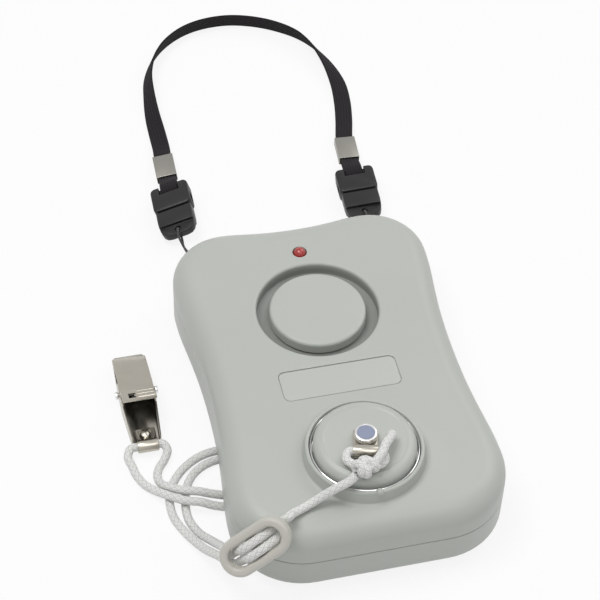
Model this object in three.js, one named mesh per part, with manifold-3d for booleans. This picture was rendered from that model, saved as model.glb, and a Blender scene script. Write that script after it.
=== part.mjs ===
// Bed alarm monitor: a waisted two-shell case with a siren, a magnet cap on a pull cord that ends
// in a garment clip, and a wrist strap on two side-release buckles. Millimetres, +Z up, case on its back.
import * as THREE from 'three';
import { mergeVertices } from 'three/addons/utils/BufferGeometryUtils.js';
import Module from 'manifold-3d';

const wasm = await Module();
wasm.setup();

// Clearances
const fitGap = 0.3; // between pieces that touch or run in each other

// Case
const caseWidth = 95;
const caseLength = 144;
const caseHeight = 26;
const lowerHeight = 12.6; // height of the lower shell, up to the parting line
const wall = 2.2;
const floorThickness = 2;
const shoulderRadius = 8;
const baseRound = 2;
const topCorner = 20.6;
const endCorner = 24.7;
const sideWaist = 3.3;
const topWaist = 2.1;
const partingGap = 0.3;
const lipThickness = 1;
const lipHeight = 1.6;

// Feet
const footHeight = 4.2;
const footRadius = 5;
const footPocket = 0.8;
const footY = caseLength / 2 - 28;

// Case screws
const screwPostRadius = 4;
const screwShank = 1.3;
const screwHead = 2.7;
const screwHeadHeight = 1.8;
const screwSeat = 4; // height of the head's seat over the underside
const screwBite = 8; // length of thread in the upper shell
const screwInset = 14.6; // from each corner of the outline, square to the walls

// Siren
const sirenInset = 46.6; // from the strap end
const sirenY = caseLength / 2 - sirenInset;
const wellRadius = 21.9;
const wellDepth = 5;
const wellFloor = 1.6;
const coverRadius = 17.35;
const coverEdge = 1.2;
const coverWall = 1.6;
const coverGap = 0.8; // under the cover's rim, for the sound
const slotCount = 6;
const slotSweep = 40; // degrees
const slotInner = 8;
const slotOuter = 13;
const coverPeg = 2.5;
const sirenHeight = 12;
const sirenWall = 1.2;
const sirenPort = 5;
const skirtWall = 1.2;
const skirtDepth = 8;
const discThickness = 0.4;

// Low battery lamp
const lampY = sirenY + wellRadius + 6.5;
const lampRadius = 2.4;
const lampRise = 1.5; // dome top over the case face

// Label plate
const labelWidth = 42;
const labelLength = 13.3;
const labelCorner = 2.5;
const labelY = sirenY - wellRadius - 4.55 - labelLength / 2;
const labelDepth = 0.5;

// Magnet cap and its seat
const capInset = 30.4; // from the front end
const capY = capInset - caseLength / 2;
const collarRadius = 20.2;
const collarFlare = 0.7;
const collarHeight = 5;
const keeperWall = 0.6;
const keeperFloor = 0.8;
const keeperHeight = 4.4;
const capRadius = 17.5;
const capHeight = 7.1;
const capDish = 0.3;
const capEdge = 2.5;
const magnetRadius = 12;
const magnetHeight = 4;
const studRadius = 3.8;
const studHead = 2.2;
const studShank = 1.6;
const claspWidth = 8.2;
const claspSheet = 0.5;
const claspReach = 7; // from the stud to the centre of the fold
const claspBack = 2.6;
const claspTurn = -14.6; // degrees about the cap's axis

// Cords
const cordRadius = 1.5;
const thinCordRadius = 0.45;
const wireRadius = 0.6;

// Circuit board
const boardSideRoom = 9.5;
const boardEndRoom = 8;
const boardWidth = caseWidth - 2 * boardSideRoom;
const boardLength = caseLength - 2 * boardEndRoom;
const boardThickness = 1.6;
const boardCorner = 12;
const boardY = -2;
const boardDrop = 4; // from the inside of the face down to the board
const boardScrewX = 30;
const boardScrewY = -8;
const boardScrewRadius = 1;
const reedGlass = 13;
const reedSpan = 17; // between its legs

// Battery bay
const bayY = capY - 0.4;
const bayWall = 1.6;
const bayHeight = 10;
const cellRadius = 7.1;
const cellLength = 49;
const cellSideRoom = 1;
const nubRadius = 2.6;
const nubLength = 1.2;
const springLength = 5.3;
const contactSheet = 0.5;
const bayLength = cellLength + nubLength + springLength + 2 * contactSheet + 5 * fitGap;
const bayWidth = 4 * cellRadius + 2 * fitGap + 2 * cellSideRoom;
const footBayRoom = 2; // from the bay's end to the foot beside it
const footX = bayLength / 2 + footRadius + footBayRoom;
const doorThickness = 1.8;
const hookReach = 1.5;
const hookWidth = 6;

// Cord slider, in its own frame: x along the slot, y across it, z out of its face
const sliderLength = 26.5;
const sliderWidth = 13.2;
const sliderThickness = 4.5;
const sliderRim = 3;
const sliderBar = 4;
const sliderInset = 4.3; // of its middle, from the case's side
const sliderForward = 2.8; // from the case's end
const sliderDrop = 1.9; // under the case's top

// Garment clip
const clipX = -caseWidth / 2 - 19.8;
const clipSheet = 0.8;
const clipTail = 0;
const clipMouth = 40.4;
const clipWall = 7.2;
const clipPinY = 21.5;
const clipPinZ = 4.5;
const clipPinRadius = 0.8;

// Strap and buckles
const strapWidth = 7;
const strapThickness = 1;
const crimpLength = 12;
const crimpSheet = 0.3;
const socketWidth = 15.4;
const socketLength = 12.5;
const socketThickness = 6.4;
const socketWall = 1.4;
const socketDepth = 7.4;
const plugReach = 13; // from the socket's mouth to the tip of the plug's nose
const buckleBar = 2.1;

// Levels
const caseBottom = footHeight;
const parting = caseBottom + lowerHeight;
const caseTop = caseBottom + caseHeight;
const floorTop = caseBottom + floorThickness;
const ceiling = caseTop - wall;
const boardTop = ceiling - boardDrop;
const boardUnder = boardTop - boardThickness;
const wellBottom = caseTop - wellDepth;
const sirenTop = wellBottom - wellFloor - fitGap;
const sirenRadius = wellRadius - skirtWall - fitGap + 0.1;
const keeperRadius = collarRadius - 1.7;
const capBottom = caseTop + keeperFloor + fitGap;
const capTop = capBottom + capHeight;
const capFace = capTop - capDish;

// Finishes
const finish = (color, roughness, metalness = 0) => new THREE.MeshStandardMaterial(
  { color, roughness, metalness },
);
const greyPlastic = finish(0xb9bcb6, 0.5);
const sliderPlastic = finish(0xa8a8a2, 0.45);
const blackPlastic = finish(0x1d1d1f, 0.45);
const rubber = finish(0x2b2b2c, 0.9);
const steel = finish(0xc9c9c6, 0.3, 1);
const darkSteel = finish(0x6f7488, 0.4, 0.8);
const brass = finish(0xb58d3d, 0.35, 1);
const boardGreen = finish(0x1f5b3a, 0.6);
const cellSleeve = finish(0x3a3f45, 0.5);
const lampRed = finish(0x8a1f1c, 0.2);
const labelFilm = finish(0xc3c6c2, 0.4);
const whiteCord = finish(0xe6e6e2, 0.9);
const blackWebbing = finish(0x1b1a1c, 0.9);
const magnetGrey = finish(0x5a5c60, 0.4, 0.9);
const glass = finish(0xcfe3da, 0.1);
const redWire = finish(0xa02420, 0.6);
const blackWire = finish(0x202022, 0.6);

// Solids
function signedVolume(vertices, triangles) {
  let volume = 0;
  const corner = (i) => new THREE.Vector3().fromArray(vertices, 3 * i);
  for (let i = 0; i < triangles.length; i += 3) {
    const [a, b, c] = [corner(triangles[i]), corner(triangles[i + 1]), corner(triangles[i + 2])];
    volume += a.dot(b.cross(c)) / 6;
  }
  return volume;
}

function solid(geometry) {
  const bare = geometry.clone();
  bare.deleteAttribute('normal');
  bare.deleteAttribute('uv');
  const merged = mergeVertices(bare, 1e-4);
  const vertices = Float32Array.from(merged.attributes.position.array);
  const triangles = [];
  for (let i = 0; i < merged.index.count; i += 3) {
    const [a, b, c] = [0, 1, 2].map((k) => merged.index.getX(i + k));
    if (a !== b && b !== c && c !== a) triangles.push(a, b, c);
  }
  if (signedVolume(vertices, triangles) < 0) triangles.reverse();
  return new wasm.Manifold(new wasm.Mesh({
    numProp: 3, vertProperties: vertices, triVerts: Uint32Array.from(triangles),
  }));
}

function geometryOf(body) {
  const mesh = body.getMesh();
  const geometry = new THREE.BufferGeometry();
  geometry.setAttribute('position', new THREE.BufferAttribute(mesh.vertProperties, 3));
  geometry.setIndex(new THREE.BufferAttribute(mesh.triVerts, 1));
  geometry.computeVertexNormals();
  return geometry;
}

const joined = (...bodies) => bodies.reduce((whole, body) => whole.add(body));
const cut = (body, ...cutters) => cutters.reduce((left, cutter) => left.subtract(cutter), body);

// A box centred on x and y that stands on z
function block(width, length, height, x = 0, y = 0, z = 0) {
  return solid(new THREE.BoxGeometry(width, length, height).translate(x, y, z + height / 2));
}

// A cylinder about a line along Z that stands on z
function rod(radius, height, x = 0, y = 0, z = 0, sides = 24) {
  const geometry = new THREE.CylinderGeometry(radius, radius, height, sides).rotateX(Math.PI / 2);
  return solid(geometry.translate(x, y, z + height / 2));
}

// A cylinder about a line along X, centred on x
function crossRod(radius, length, x, y, z, sides = 16) {
  const geometry = new THREE.CylinderGeometry(radius, radius, length, sides).rotateZ(Math.PI / 2);
  return solid(geometry.translate(x, y, z));
}

// A turned body about a line along Z, from [radius, height] points
function turned(profile, x = 0, y = 0, sides = 48) {
  const points = profile.map(([radius, height]) => new THREE.Vector2(radius, height));
  return solid(new THREE.LatheGeometry(points, sides).rotateX(Math.PI / 2).translate(x, y, 0));
}

function ring(outer, inner, height, x, y, z, sides = 40) {
  return turned(
    [[inner, z], [outer, z], [outer, z + height], [inner, z + height], [inner, z]], x, y, sides,
  );
}

function plate(shape, height, z, curveSegments = 6) {
  return solid(
    new THREE.ExtrudeGeometry(shape, { depth: height, bevelEnabled: false, curveSegments }).translate(
      0, 0, z,
    ),
  );
}

// A plate with rounded edges on both faces
function roundedPlate(shape, height, z, edge, bevelSegments = 2, curveSegments = 6) {
  const geometry = new THREE.ExtrudeGeometry(shape, {
    depth: height - 2 * edge, bevelEnabled: true, bevelThickness: edge, bevelSize: edge,
    bevelOffset: -edge, bevelSegments, curveSegments,
  });
  return solid(geometry.translate(0, 0, z + edge));
}

// A section drawn on the Y and Z axes, extruded along X and centred on x
function sideProfile(points, width, x = 0) {
  const section = new THREE.Shape(points.map(([y, z]) => new THREE.Vector2(y, z)));
  const geometry = new THREE.ExtrudeGeometry(section, { depth: width, bevelEnabled: false });
  const upright = new THREE.Matrix4().makeBasis(
    new THREE.Vector3(0, 1, 0), new THREE.Vector3(0, 0, 1), new THREE.Vector3(1, 0, 0));
  return solid(geometry.translate(0, 0, -width / 2).applyMatrix4(upright).translate(x, 0, 0));
}

// The two sides of a bent sheet around its middle line, as one outline
function sheetOutline(line, thickness) {
  const sides = [[], []];
  line.forEach(([y, z], i) => {
    const before = line[Math.max(i - 1, 0)];
    const after = line[Math.min(i + 1, line.length - 1)];
    const run = new THREE.Vector2(after[0] - before[0], after[1] - before[1]).normalize();
    const half = thickness / 2;
    sides[0].push([y - run.y * half, z + run.x * half]);
    sides[1].unshift([y + run.y * half, z - run.x * half]);
  });
  return sides.flat();
}

function arcPoints(y, z, radius, fromDegrees, toDegrees, count) {
  return Array.from({ length: count + 1 }, (_, i) => {
    const angle = THREE.MathUtils.degToRad(fromDegrees + (toDegrees - fromDegrees) * i / count);
    return [y + radius * Math.cos(angle), z + radius * Math.sin(angle)];
  });
}

function roundedRectangle(width, length, radius, x = 0, y = 0) {
  const [halfWidth, halfLength] = [width / 2, length / 2];
  const shape = new THREE.Shape();
  shape.absarc(x + halfWidth - radius, y + halfLength - radius, radius, 0, Math.PI / 2);
  shape.absarc(x - halfWidth + radius, y + halfLength - radius, radius, Math.PI / 2, Math.PI);
  shape.absarc(x - halfWidth + radius, y - halfLength + radius, radius, Math.PI, 1.5 * Math.PI);
  shape.absarc(x + halfWidth - radius, y - halfLength + radius, radius, 1.5 * Math.PI, 2 * Math.PI);
  return shape;
}

// A slot with fully round ends, long along X
function slotShape(length, width) {
  const shape = new THREE.Shape();
  const radius = width / 2;
  shape.absarc(length / 2 - radius, 0, radius, -Math.PI / 2, Math.PI / 2);
  shape.absarc(radius - length / 2, 0, radius, Math.PI / 2, 1.5 * Math.PI);
  return shape;
}

// A round cord, wire or coil along a smooth line through the points
function tube(points, radius, sides = 8, step = 5 * radius) {
  const line = new THREE.CatmullRomCurve3(points.map((p) => new THREE.Vector3(...p)), false, 'centripetal');
  const section = new THREE.Shape(Array.from({ length: sides }, (_, i) => {
    const angle = 2 * Math.PI * i / sides;
    return new THREE.Vector2(radius * Math.cos(angle), radius * Math.sin(angle));
  }));
  const steps = Math.max(4, Math.round(line.getLength() / step));
  return solid(new THREE.ExtrudeGeometry(section, { steps, bevelEnabled: false, extrudePath: line }));
}

// A flat band through stations that hold a centre and the direction across the band
function band(stations, width, thickness, stepsPerSpan = 2) {
  const centres = new THREE.CatmullRomCurve3(stations.map((s) => s.centre), false, 'centripetal');
  const across = new THREE.CatmullRomCurve3(stations.map((s) => s.across));
  const count = (stations.length - 1) * stepsPerSpan;
  const vertices = [];
  const triangles = [];
  for (let i = 0; i <= count; i += 1) {
    const centre = centres.getPoint(i / count);
    const side = across.getPoint(i / count).normalize();
    const up = centres.getTangent(i / count).cross(side).normalize();
    [[-1, -1], [1, -1], [1, 1], [-1, 1]].forEach(([a, b]) => {
      const corner = centre.clone().addScaledVector(side, a * width / 2).addScaledVector(
        up, b * thickness / 2,
      );
      vertices.push(corner.x, corner.y, corner.z);
    });
  }
  for (let i = 0; i < count; i += 1) {
    for (let k = 0; k < 4; k += 1) {
      const [a, b] = [4 * i + k, 4 * i + (k + 1) % 4];
      triangles.push(a, b, b + 4, a, b + 4, a + 4);
    }
  }
  const last = 4 * count;
  triangles.push(0, 2, 1, 0, 3, 2, last, last + 1, last + 2, last, last + 2, last + 3);
  const geometry = new THREE.BufferGeometry();
  geometry.setAttribute('position', new THREE.Float32BufferAttribute(vertices, 3));
  geometry.setIndex(triangles);
  return solid(geometry);
}

const model = new THREE.Group();

function add(name, body, material, place = model) {
  const mesh = new THREE.Mesh(geometryOf(body), material);
  mesh.name = name;
  place.add(mesh);
  return mesh;
}

// Case outline: round corners, waisted long sides and a waisted strap end
function caseOutline(inset) {
  const halfWidth = caseWidth / 2 - inset;
  const halfLength = caseLength / 2 - inset;
  const top = topCorner - inset;
  const end = endCorner - inset;
  const low = -halfLength + end;
  const high = halfLength - top;
  const middle = (low + high) / 2;
  const ease = (high - low) / 2;
  const waistX = halfWidth - sideWaist;
  const waistY = halfLength - topWaist;
  const shape = new THREE.Shape();
  shape.moveTo(halfWidth, low);
  shape.bezierCurveTo(halfWidth, low + 0.3 * ease, waistX, middle - 0.55 * ease, waistX, middle);
  shape.bezierCurveTo(waistX, middle + 0.55 * ease, halfWidth, high - 0.3 * ease, halfWidth, high);
  shape.absarc(halfWidth - top, high, top, 0, Math.PI / 2);
  const run = halfWidth - top;
  shape.bezierCurveTo(0.7 * run, halfLength, 0.55 * run, waistY, 0, waistY);
  shape.bezierCurveTo(-0.55 * run, waistY, -0.7 * run, halfLength, -run, halfLength);
  shape.absarc(-run, high, top, Math.PI / 2, Math.PI);
  shape.bezierCurveTo(-halfWidth, high - 0.3 * ease, -waistX, middle + 0.55 * ease, -waistX, middle);
  shape.bezierCurveTo(-waistX, middle - 0.55 * ease, -halfWidth, low + 0.3 * ease, -halfWidth, low);
  shape.absarc(-halfWidth + end, low, end, Math.PI, 1.5 * Math.PI);
  shape.absarc(halfWidth - end, low, end, 1.5 * Math.PI, 2 * Math.PI);
  return shape;
}

const casePlate = (inset, bottom, top) => plate(caseOutline(inset), top - bottom, bottom, 4);

const screwPlaces = [[1, 1], [-1, 1], [-1, -1], [1, -1]].map(([sideX, sideY]) => {
  const corner = sideY > 0 ? topCorner : endCorner;
  const inset = corner - (corner - screwInset + 3.2) * Math.SQRT1_2;
  return [sideX * (caseWidth / 2 - inset), sideY * (caseLength / 2 - inset)];
});

const footPlaces = [[1, 1], [-1, 1], [-1, -1], [1, -1]].map(([x, y]) => [x * footX, y * footY]);
const boardScrewPlaces = [[boardScrewX, boardScrewY], [-boardScrewX, boardScrewY]];
const screwTop = parting + screwBite;

// Upper shell: shoulder, siren well with sound slots, lamp hole, label recess, cap collar and posts
function topShell() {
  const below = parting - shoulderRadius - 1;
  const outer = cut(
    roundedPlate(caseOutline(0), caseTop - below, below, shoulderRadius, 4, 4),
    block(2 * caseWidth, 2 * caseLength, caseHeight, 0, 0, parting + partingGap / 2 - caseHeight),
  );
  const innerRound = shoulderRadius - wall;
  const hollow = roundedPlate(caseOutline(wall), ceiling - below, below, innerRound, 2, 4);
  const rebate = casePlate(wall - lipThickness - fitGap, below, parting + lipHeight + fitGap);
  const postBottom = parting + partingGap / 2;
  const posts = screwPlaces.map(
    ([x, y]) => rod(screwPostRadius, caseTop - postBottom, x, y, postBottom, 20),
  );
  const boardPosts = boardScrewPlaces.map(
    ([x, y]) => rod(3, ceiling - boardTop + 0.5, x, y, boardTop + fitGap, 16),
  );
  const wellCup = rod(
    wellRadius + wall, wellDepth + wellFloor - 0.4, 0, sirenY, wellBottom - wellFloor, 40,
  );
  const skirt = ring(wellRadius, sirenRadius + fitGap, skirtDepth + 0.2, 0, sirenY,
    wellBottom - wellFloor - skirtDepth, 40);
  const inside = joined(wellCup, skirt, ...posts, ...boardPosts).intersect(outer);
  const collar = turned([
    [collarRadius - 1.4, caseTop - 0.5], [collarRadius + collarFlare, caseTop - 0.5],
    [collarRadius + collarFlare, caseTop + 0.2], [collarRadius + 0.2, caseTop + 1.2],
    [collarRadius, caseTop + collarHeight - 0.5], [collarRadius - 0.3, caseTop + collarHeight],
    [collarRadius - 1.1, caseTop + collarHeight], [collarRadius - 1.4, caseTop + collarHeight - 0.3],
    [collarRadius - 1.4, caseTop - 0.5],
  ], 0, capY, 40);
  const nub = solid(
    new THREE.SphereGeometry(1.3, 10, 6).translate(
      0, capY - collarRadius + 0.6, caseTop + collarHeight - 0.3,
    ),
  );
  const wellBore = turned([
    [0, wellBottom], [wellRadius, wellBottom], [wellRadius, caseTop - 0.9],
    [wellRadius + 0.3, caseTop - 0.3],
    [wellRadius + 0.9, caseTop], [wellRadius + 0.9, caseTop + 1], [0, caseTop + 1],
  ], 0, sirenY, 40);
  const slots = Array.from({ length: slotCount }, (_, i) => {
    const middle = 2 * Math.PI * i / slotCount;
    const half = THREE.MathUtils.degToRad(slotSweep) / 2;
    const shape = new THREE.Shape();
    shape.absarc(0, sirenY, slotOuter, middle - half, middle + half);
    shape.absarc(0, sirenY, slotInner, middle + half, middle - half, true);
    return plate(shape, wellFloor + 1, wellBottom - wellFloor - 0.5, 3);
  });
  const pilots = screwPlaces.map(
    ([x, y]) => rod(screwShank + fitGap, screwBite + fitGap - partingGap, x, y, parting, 12),
  );
  const boardPilots = boardScrewPlaces.map(([x, y]) => rod(1.3, boardDrop - 0.4, x, y, boardTop, 12));
  return cut(
    joined(cut(outer, hollow, rebate), inside, collar, nub),
    wellBore, ...slots, ...pilots, ...boardPilots,
    rod(coverPeg, 2 * wellFloor, 0, sirenY, wellBottom - 1.5 * wellFloor),
    rod(lampRadius + fitGap, 2 * wall, 0, lampY, ceiling - wall / 2),
    plate(
      roundedRectangle(labelWidth, labelLength, labelCorner, 0, labelY), 2 * labelDepth,
      caseTop - labelDepth, 3,
    ),
  );
}

// Holes in the strap end for the two loops that hold the buckles
const loopHoleZ = 11;
const loopHoles = [-35.6, -32.6, 32.6, 35.6];
const loopHoleRadius = thinCordRadius + fitGap;

// Lower shell: tray with a lip, screw columns, battery bay, foot pockets and strap holes
function bottomShell() {
  const outer = cut(
    roundedPlate(caseOutline(0), lowerHeight + 2 * baseRound, caseBottom, baseRound, 2, 4),
    block(2 * caseWidth, 2 * caseLength, caseHeight, 0, 0, parting - partingGap / 2),
  );
  const tray = cut(outer, casePlate(wall, floorTop, parting + 1));
  const lip = cut(
    casePlate(wall - lipThickness, parting - 2, parting + lipHeight),
    casePlate(wall, parting - 3, parting + lipHeight + 1),
  );
  const columnTop = parting - partingGap / 2;
  const columns = screwPlaces.map(
    ([x, y]) => rod(screwPostRadius, columnTop - caseBottom - 1, x, y, caseBottom + 1, 20),
  );
  const bay = block(
    bayLength + 2 * bayWall, bayWidth + 2 * bayWall, bayHeight + 0.5, 0, bayY, floorTop - 0.5,
  );
  const bayHollow = block(bayLength, bayWidth, bayHeight + 4, 0, bayY, caseBottom - 1);
  const hookSlots = [-1, 1].map((side) => block(hookWidth + 2 * fitGap, hookReach + 2 * fitGap + 0.6, 2.6,
    side * bayLength / 4, bayY + bayWidth / 2 + (hookReach + fitGap) / 2, floorTop));
  const holes = screwPlaces.flatMap(([x, y]) => [
    rod(screwShank + fitGap, lowerHeight + 1, x, y, caseBottom, 12),
    rod(screwHead + fitGap, screwSeat, x, y, caseBottom, 20),
  ]);
  const pockets = footPlaces.map(
    ([x, y]) => rod(footRadius + fitGap, footPocket + 1, x, y, caseBottom - 1),
  );
  const strapHole = new THREE.CylinderGeometry(loopHoleRadius, loopHoleRadius, 3 * wall, 8);
  const strapHoles = loopHoles.map(
    (x) => solid(strapHole.clone().translate(x, caseLength / 2 - wall, loopHoleZ)),
  );
  return cut(
    joined(tray, lip, ...columns, bay), bayHollow, ...hookSlots, ...holes, ...pockets, ...strapHoles,
  );
}

function caseScrew([x, y]) {
  const seat = caseBottom + screwSeat;
  const head = rod(screwHead, screwHeadHeight, x, y, seat - fitGap - screwHeadHeight, 16);
  const cross = joined(
    block(3, 0.7, 1, x, y, seat - screwHeadHeight - 0.9),
    block(0.7, 3, 1, x, y, seat - screwHeadHeight - 0.9),
  );
  return joined(cut(head, cross), rod(screwShank, screwTop - seat - fitGap, x, y, seat - fitGap - 0.2, 12));
}

function foot([x, y]) {
  const top = caseBottom + footPocket - fitGap;
  return turned([[0, 0], [footRadius - 0.8, 0], [footRadius, 0.8], [footRadius, top], [0, top]], x, y, 20);
}

add('top_shell', topShell(), greyPlastic);
add('bottom_shell', bottomShell(), greyPlastic);
footPlaces.forEach((place, i) => add(`foot_${i + 1}`, foot(place), rubber));
screwPlaces.forEach((place, i) => add(`case_screw_${i + 1}`, caseScrew(place), steel));

// Round siren cover: a shallow cup with a peg that plugs into the well's floor
function sirenCover() {
  const base = wellBottom + coverGap;
  const peg = coverPeg - fitGap;
  return turned([
    [0, wellBottom - 1], [peg, wellBottom - 1], [peg, caseTop - 2], [coverRadius - coverWall, caseTop - 2],
    [coverRadius - coverWall, base], [coverRadius, base], [coverRadius, caseTop - coverEdge],
    [coverRadius - 0.35, caseTop - 0.35], [coverRadius - coverEdge, caseTop], [0, caseTop],
  ], 0, sirenY, 40);
}

// Siren can with a sound port above and a ledge for its vibrating disc
function sirenCase() {
  const bottom = sirenTop - sirenHeight;
  const ledge = bottom + 5;
  const bore = sirenRadius - sirenWall;
  return turned([
    [0, bottom], [sirenRadius, bottom], [sirenRadius, sirenTop], [sirenPort, sirenTop],
    [sirenPort, sirenTop - sirenWall], [bore, sirenTop - sirenWall], [bore, ledge], [bore - 2, ledge],
    [bore - 2, bottom + sirenWall], [0, bottom + sirenWall],
  ], 0, sirenY, 32);
}

const discRadius = sirenRadius - sirenWall - fitGap;
add('siren_cover', sirenCover(), greyPlastic);
add('siren_case', sirenCase(), blackPlastic);
add(
  'siren_disc', rod(discRadius, discThickness, 0, sirenY, sirenTop - sirenHeight + 5 + fitGap, 36),
  brass,
);

function lamp() {
  const foot = boardTop + fitGap;
  const domeBase = caseTop + lampRise - lampRadius;
  const dome = arcPoints(0, domeBase, lampRadius, 0, 90, 5).map(([y, z]) => [Math.max(y, 0), z]);
  dome[dome.length - 1] = [0, caseTop + lampRise];
  return turned(
    [[0, foot], [lampRadius + 0.5, foot], [lampRadius + 0.5, foot + 1], [lampRadius, foot + 1], ...dome],
    0, lampY, 20,
  );
}

add('warning_lamp', lamp(), lampRed);
const labelShape = roundedRectangle(
  labelWidth - 2 * fitGap, labelLength - 2 * fitGap, labelCorner - fitGap, 0, labelY,
);
add('label_plate', plate(labelShape, labelDepth - 0.1, caseTop - labelDepth, 3), labelFilm);

// Circuit board around the siren, with its chip and capacitor soldered on
function circuitBoard() {
  const outline = roundedRectangle(boardWidth, boardLength, boardCorner, 0, boardY);
  const board = plate(outline, boardThickness, boardUnder, 3);
  const parts = joined(
    block(12, 7, 2.2, -18, -14, boardUnder - 2), rod(3, 4.2, 20, -16, boardUnder - 4, 16),
  );
  const screwRelief = screwPlaces.map(([x, y]) => rod(screwPostRadius + 0.8, 4, x, y, boardUnder - 1, 16));
  const screwHoles = boardScrewPlaces.map(([x, y]) => rod(1.3, 4, x, y, boardUnder - 1, 12));
  return cut(
    joined(board, parts), rod(wellRadius + wall + 0.9, 4, 0, sirenY, boardUnder - 1, 40),
    ...screwRelief, ...screwHoles,
  );
}

function boardScrew([x, y]) {
  return joined(
    rod(2, 1.4, x, y, boardUnder - fitGap - 1.4, 14),
    rod(1, boardThickness + 2.6, x, y, boardUnder - fitGap - 0.2, 12),
  );
}

function reedSwitch() {
  const z = boardTop + 1.9;
  const legs = [-1, 1].map((side) => rod(0.35, 1.6, side * reedSpan / 2, capY, boardTop + fitGap, 8));
  return joined(
    crossRod(1.1, reedGlass, 0, capY, z, 12), crossRod(0.35, reedSpan + 0.7, 0, capY, z, 8), ...legs,
  );
}

add('circuit_board', circuitBoard(), boardGreen);
boardScrewPlaces.forEach((place, i) => add(`board_screw_${i + 1}`, boardScrew(place), steel));
add('reed_switch', reedSwitch(), glass);

// Battery cells, contacts and door
const cellZ = caseBottom + doorThickness + 2 * fitGap + cellRadius;
const cellRow = cellRadius + fitGap;
const contactX = bayLength / 2 - fitGap - contactSheet / 2;
const contactInner = contactX - contactSheet / 2;
const cellStart = -contactInner + fitGap; // x of the nub's end

function cell(side) {
  const middle = cellStart + nubLength + cellLength / 2;
  return joined(
    crossRod(cellRadius, cellLength, side * middle, bayY + side * cellRow, cellZ, 24),
    crossRod(
      nubRadius, nubLength + 0.4, side * (cellStart + nubLength / 2 + 0.2), bayY + side * cellRow,
      cellZ, 16,
    ),
  );
}

function contactSpring(side) {
  const from = cellStart + nubLength + cellLength + fitGap;
  const length = contactInner - fitGap - from;
  const turns = 3;
  const points = Array.from({ length: 12 * turns + 1 }, (_, i) => {
    const angle = 2 * Math.PI * i / 12;
    const radius = 2.2 + 1.6 * i / (12 * turns);
    const along = from + 0.4 + (length - 0.8) * i / (12 * turns);
    return [
      side * along, bayY + side * cellRow + radius * Math.cos(angle), cellZ + radius * Math.sin(angle),
    ];
  });
  return tube(points, 0.35, 6, 1.9);
}

const contactBase = floorTop + fitGap;
const contactHeight = bayHeight;
add('battery_1', cell(1), cellSleeve);
add('battery_2', cell(-1), cellSleeve);
add('contact_strip', block(contactSheet, bayWidth - 4, contactHeight, contactX, bayY, contactBase), steel);
[1, -1].forEach((side, i) => {
  add(
    `contact_tab_${i + 1}`,
    block(contactSheet, 9, contactHeight, -contactX, bayY + side * cellRow, contactBase), steel,
  );
});
add('contact_spring_1', contactSpring(1), steel);
add('contact_spring_2', contactSpring(-1), steel);

function batteryDoor() {
  const panel = plate(
    roundedRectangle(bayLength - 2 * fitGap, bayWidth - 2 * fitGap, 0.8, 0, bayY), doorThickness,
    caseBottom, 2,
  );
  const edge = bayY + bayWidth / 2;
  const hookBottom = floorTop + fitGap;
  const hooks = [-1, 1].map((side) => joined(
    block(
      hookWidth, 1.6, hookBottom + 1.2 - caseBottom - 0.5, side * bayLength / 4, edge - fitGap - 0.8,
      caseBottom + 0.5,
    ),
    block(
      hookWidth, hookReach + fitGap + 0.8, 1.2, side * bayLength / 4,
      edge + (hookReach - fitGap - 0.8) / 2, hookBottom,
    ),
  ));
  const grips = [-1, 0, 1].map(
    (i) => block(14, 0.8, 0.6, 0, bayY - bayWidth / 2 + 5 + 2 * i, caseBottom - 0.2),
  );
  return cut(joined(panel, ...hooks), ...grips);
}

add('battery_door', batteryDoor(), greyPlastic);

// Wires from the battery tabs and the siren up to the board
const wireTop = boardUnder - fitGap - 0.1;
const tabTop = contactBase + contactHeight + fitGap + 0.1;
[[1, redWire], [-1, blackWire]].forEach(([side, material], i) => {
  const y = bayY + side * cellRow;
  add(`battery_wire_${i + 1}`, tube([
    [-contactX, y, tabTop], [-contactX - 0.4, y, tabTop + 1.5], [-contactX - 1, y + 1, wireTop - 1.5],
    [-contactX - 0.6, y + 2, wireTop],
  ], wireRadius, 6), material);
});
const sirenUnder = sirenTop - sirenHeight - fitGap - wireRadius;
[[3, redWire], [-3, blackWire]].forEach(([x, material], i) => {
  add(`siren_wire_${i + 1}`, tube([
    [x, sirenY - 14, sirenUnder - 0.3], [x, sirenY - 19, sirenUnder - 0.6],
    [x, sirenY - 25, sirenUnder + 1],
    [x, sirenY - 29, (sirenUnder + wireTop) / 2], [x, sirenY - 30, wireTop],
  ], wireRadius, 6), material);
});

// Steel keeper cup in the collar, and the magnet cap that sits in it
function keeperCup() {
  const inner = keeperRadius - keeperWall;
  return turned([
    [0, caseTop], [keeperRadius, caseTop], [keeperRadius, caseTop + keeperHeight - 0.2],
    [keeperRadius - 0.2, caseTop + keeperHeight], [inner, caseTop + keeperHeight],
    [inner, caseTop + keeperFloor],
    [0, caseTop + keeperFloor],
  ], 0, capY, 40);
}

const pocketTop = capBottom + magnetHeight + fitGap;
const studHole = studShank + fitGap;
const studHoleBottom = pocketTop + 0.5;

function magnetCap() {
  return turned([
    [0, studHoleBottom], [studHole, studHoleBottom], [studHole, capFace],
    [capRadius - capEdge - 1.2, capFace],
    [capRadius - capEdge - 0.2, capTop], [capRadius - capEdge + 0.9, capTop - 0.2],
    [capRadius - 0.9, capTop - 0.9],
    [capRadius - 0.2, capTop - 2], [capRadius, capTop - 3], [capRadius, capBottom + 0.3],
    [capRadius - 0.3, capBottom],
    [magnetRadius + fitGap, capBottom], [magnetRadius + fitGap, pocketTop], [0, pocketTop],
  ], 0, capY, 40);
}

const claspLow = capFace + fitGap + claspSheet / 2;
const claspHigh = claspLow + claspSheet + fitGap;
const foldRadius = cordRadius + fitGap + claspSheet / 2;
const foldZ = claspLow + foldRadius;

const aboutCap = (body) => body.rotate([0, 0, claspTurn]).translate([0, capY, 0]);

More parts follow.
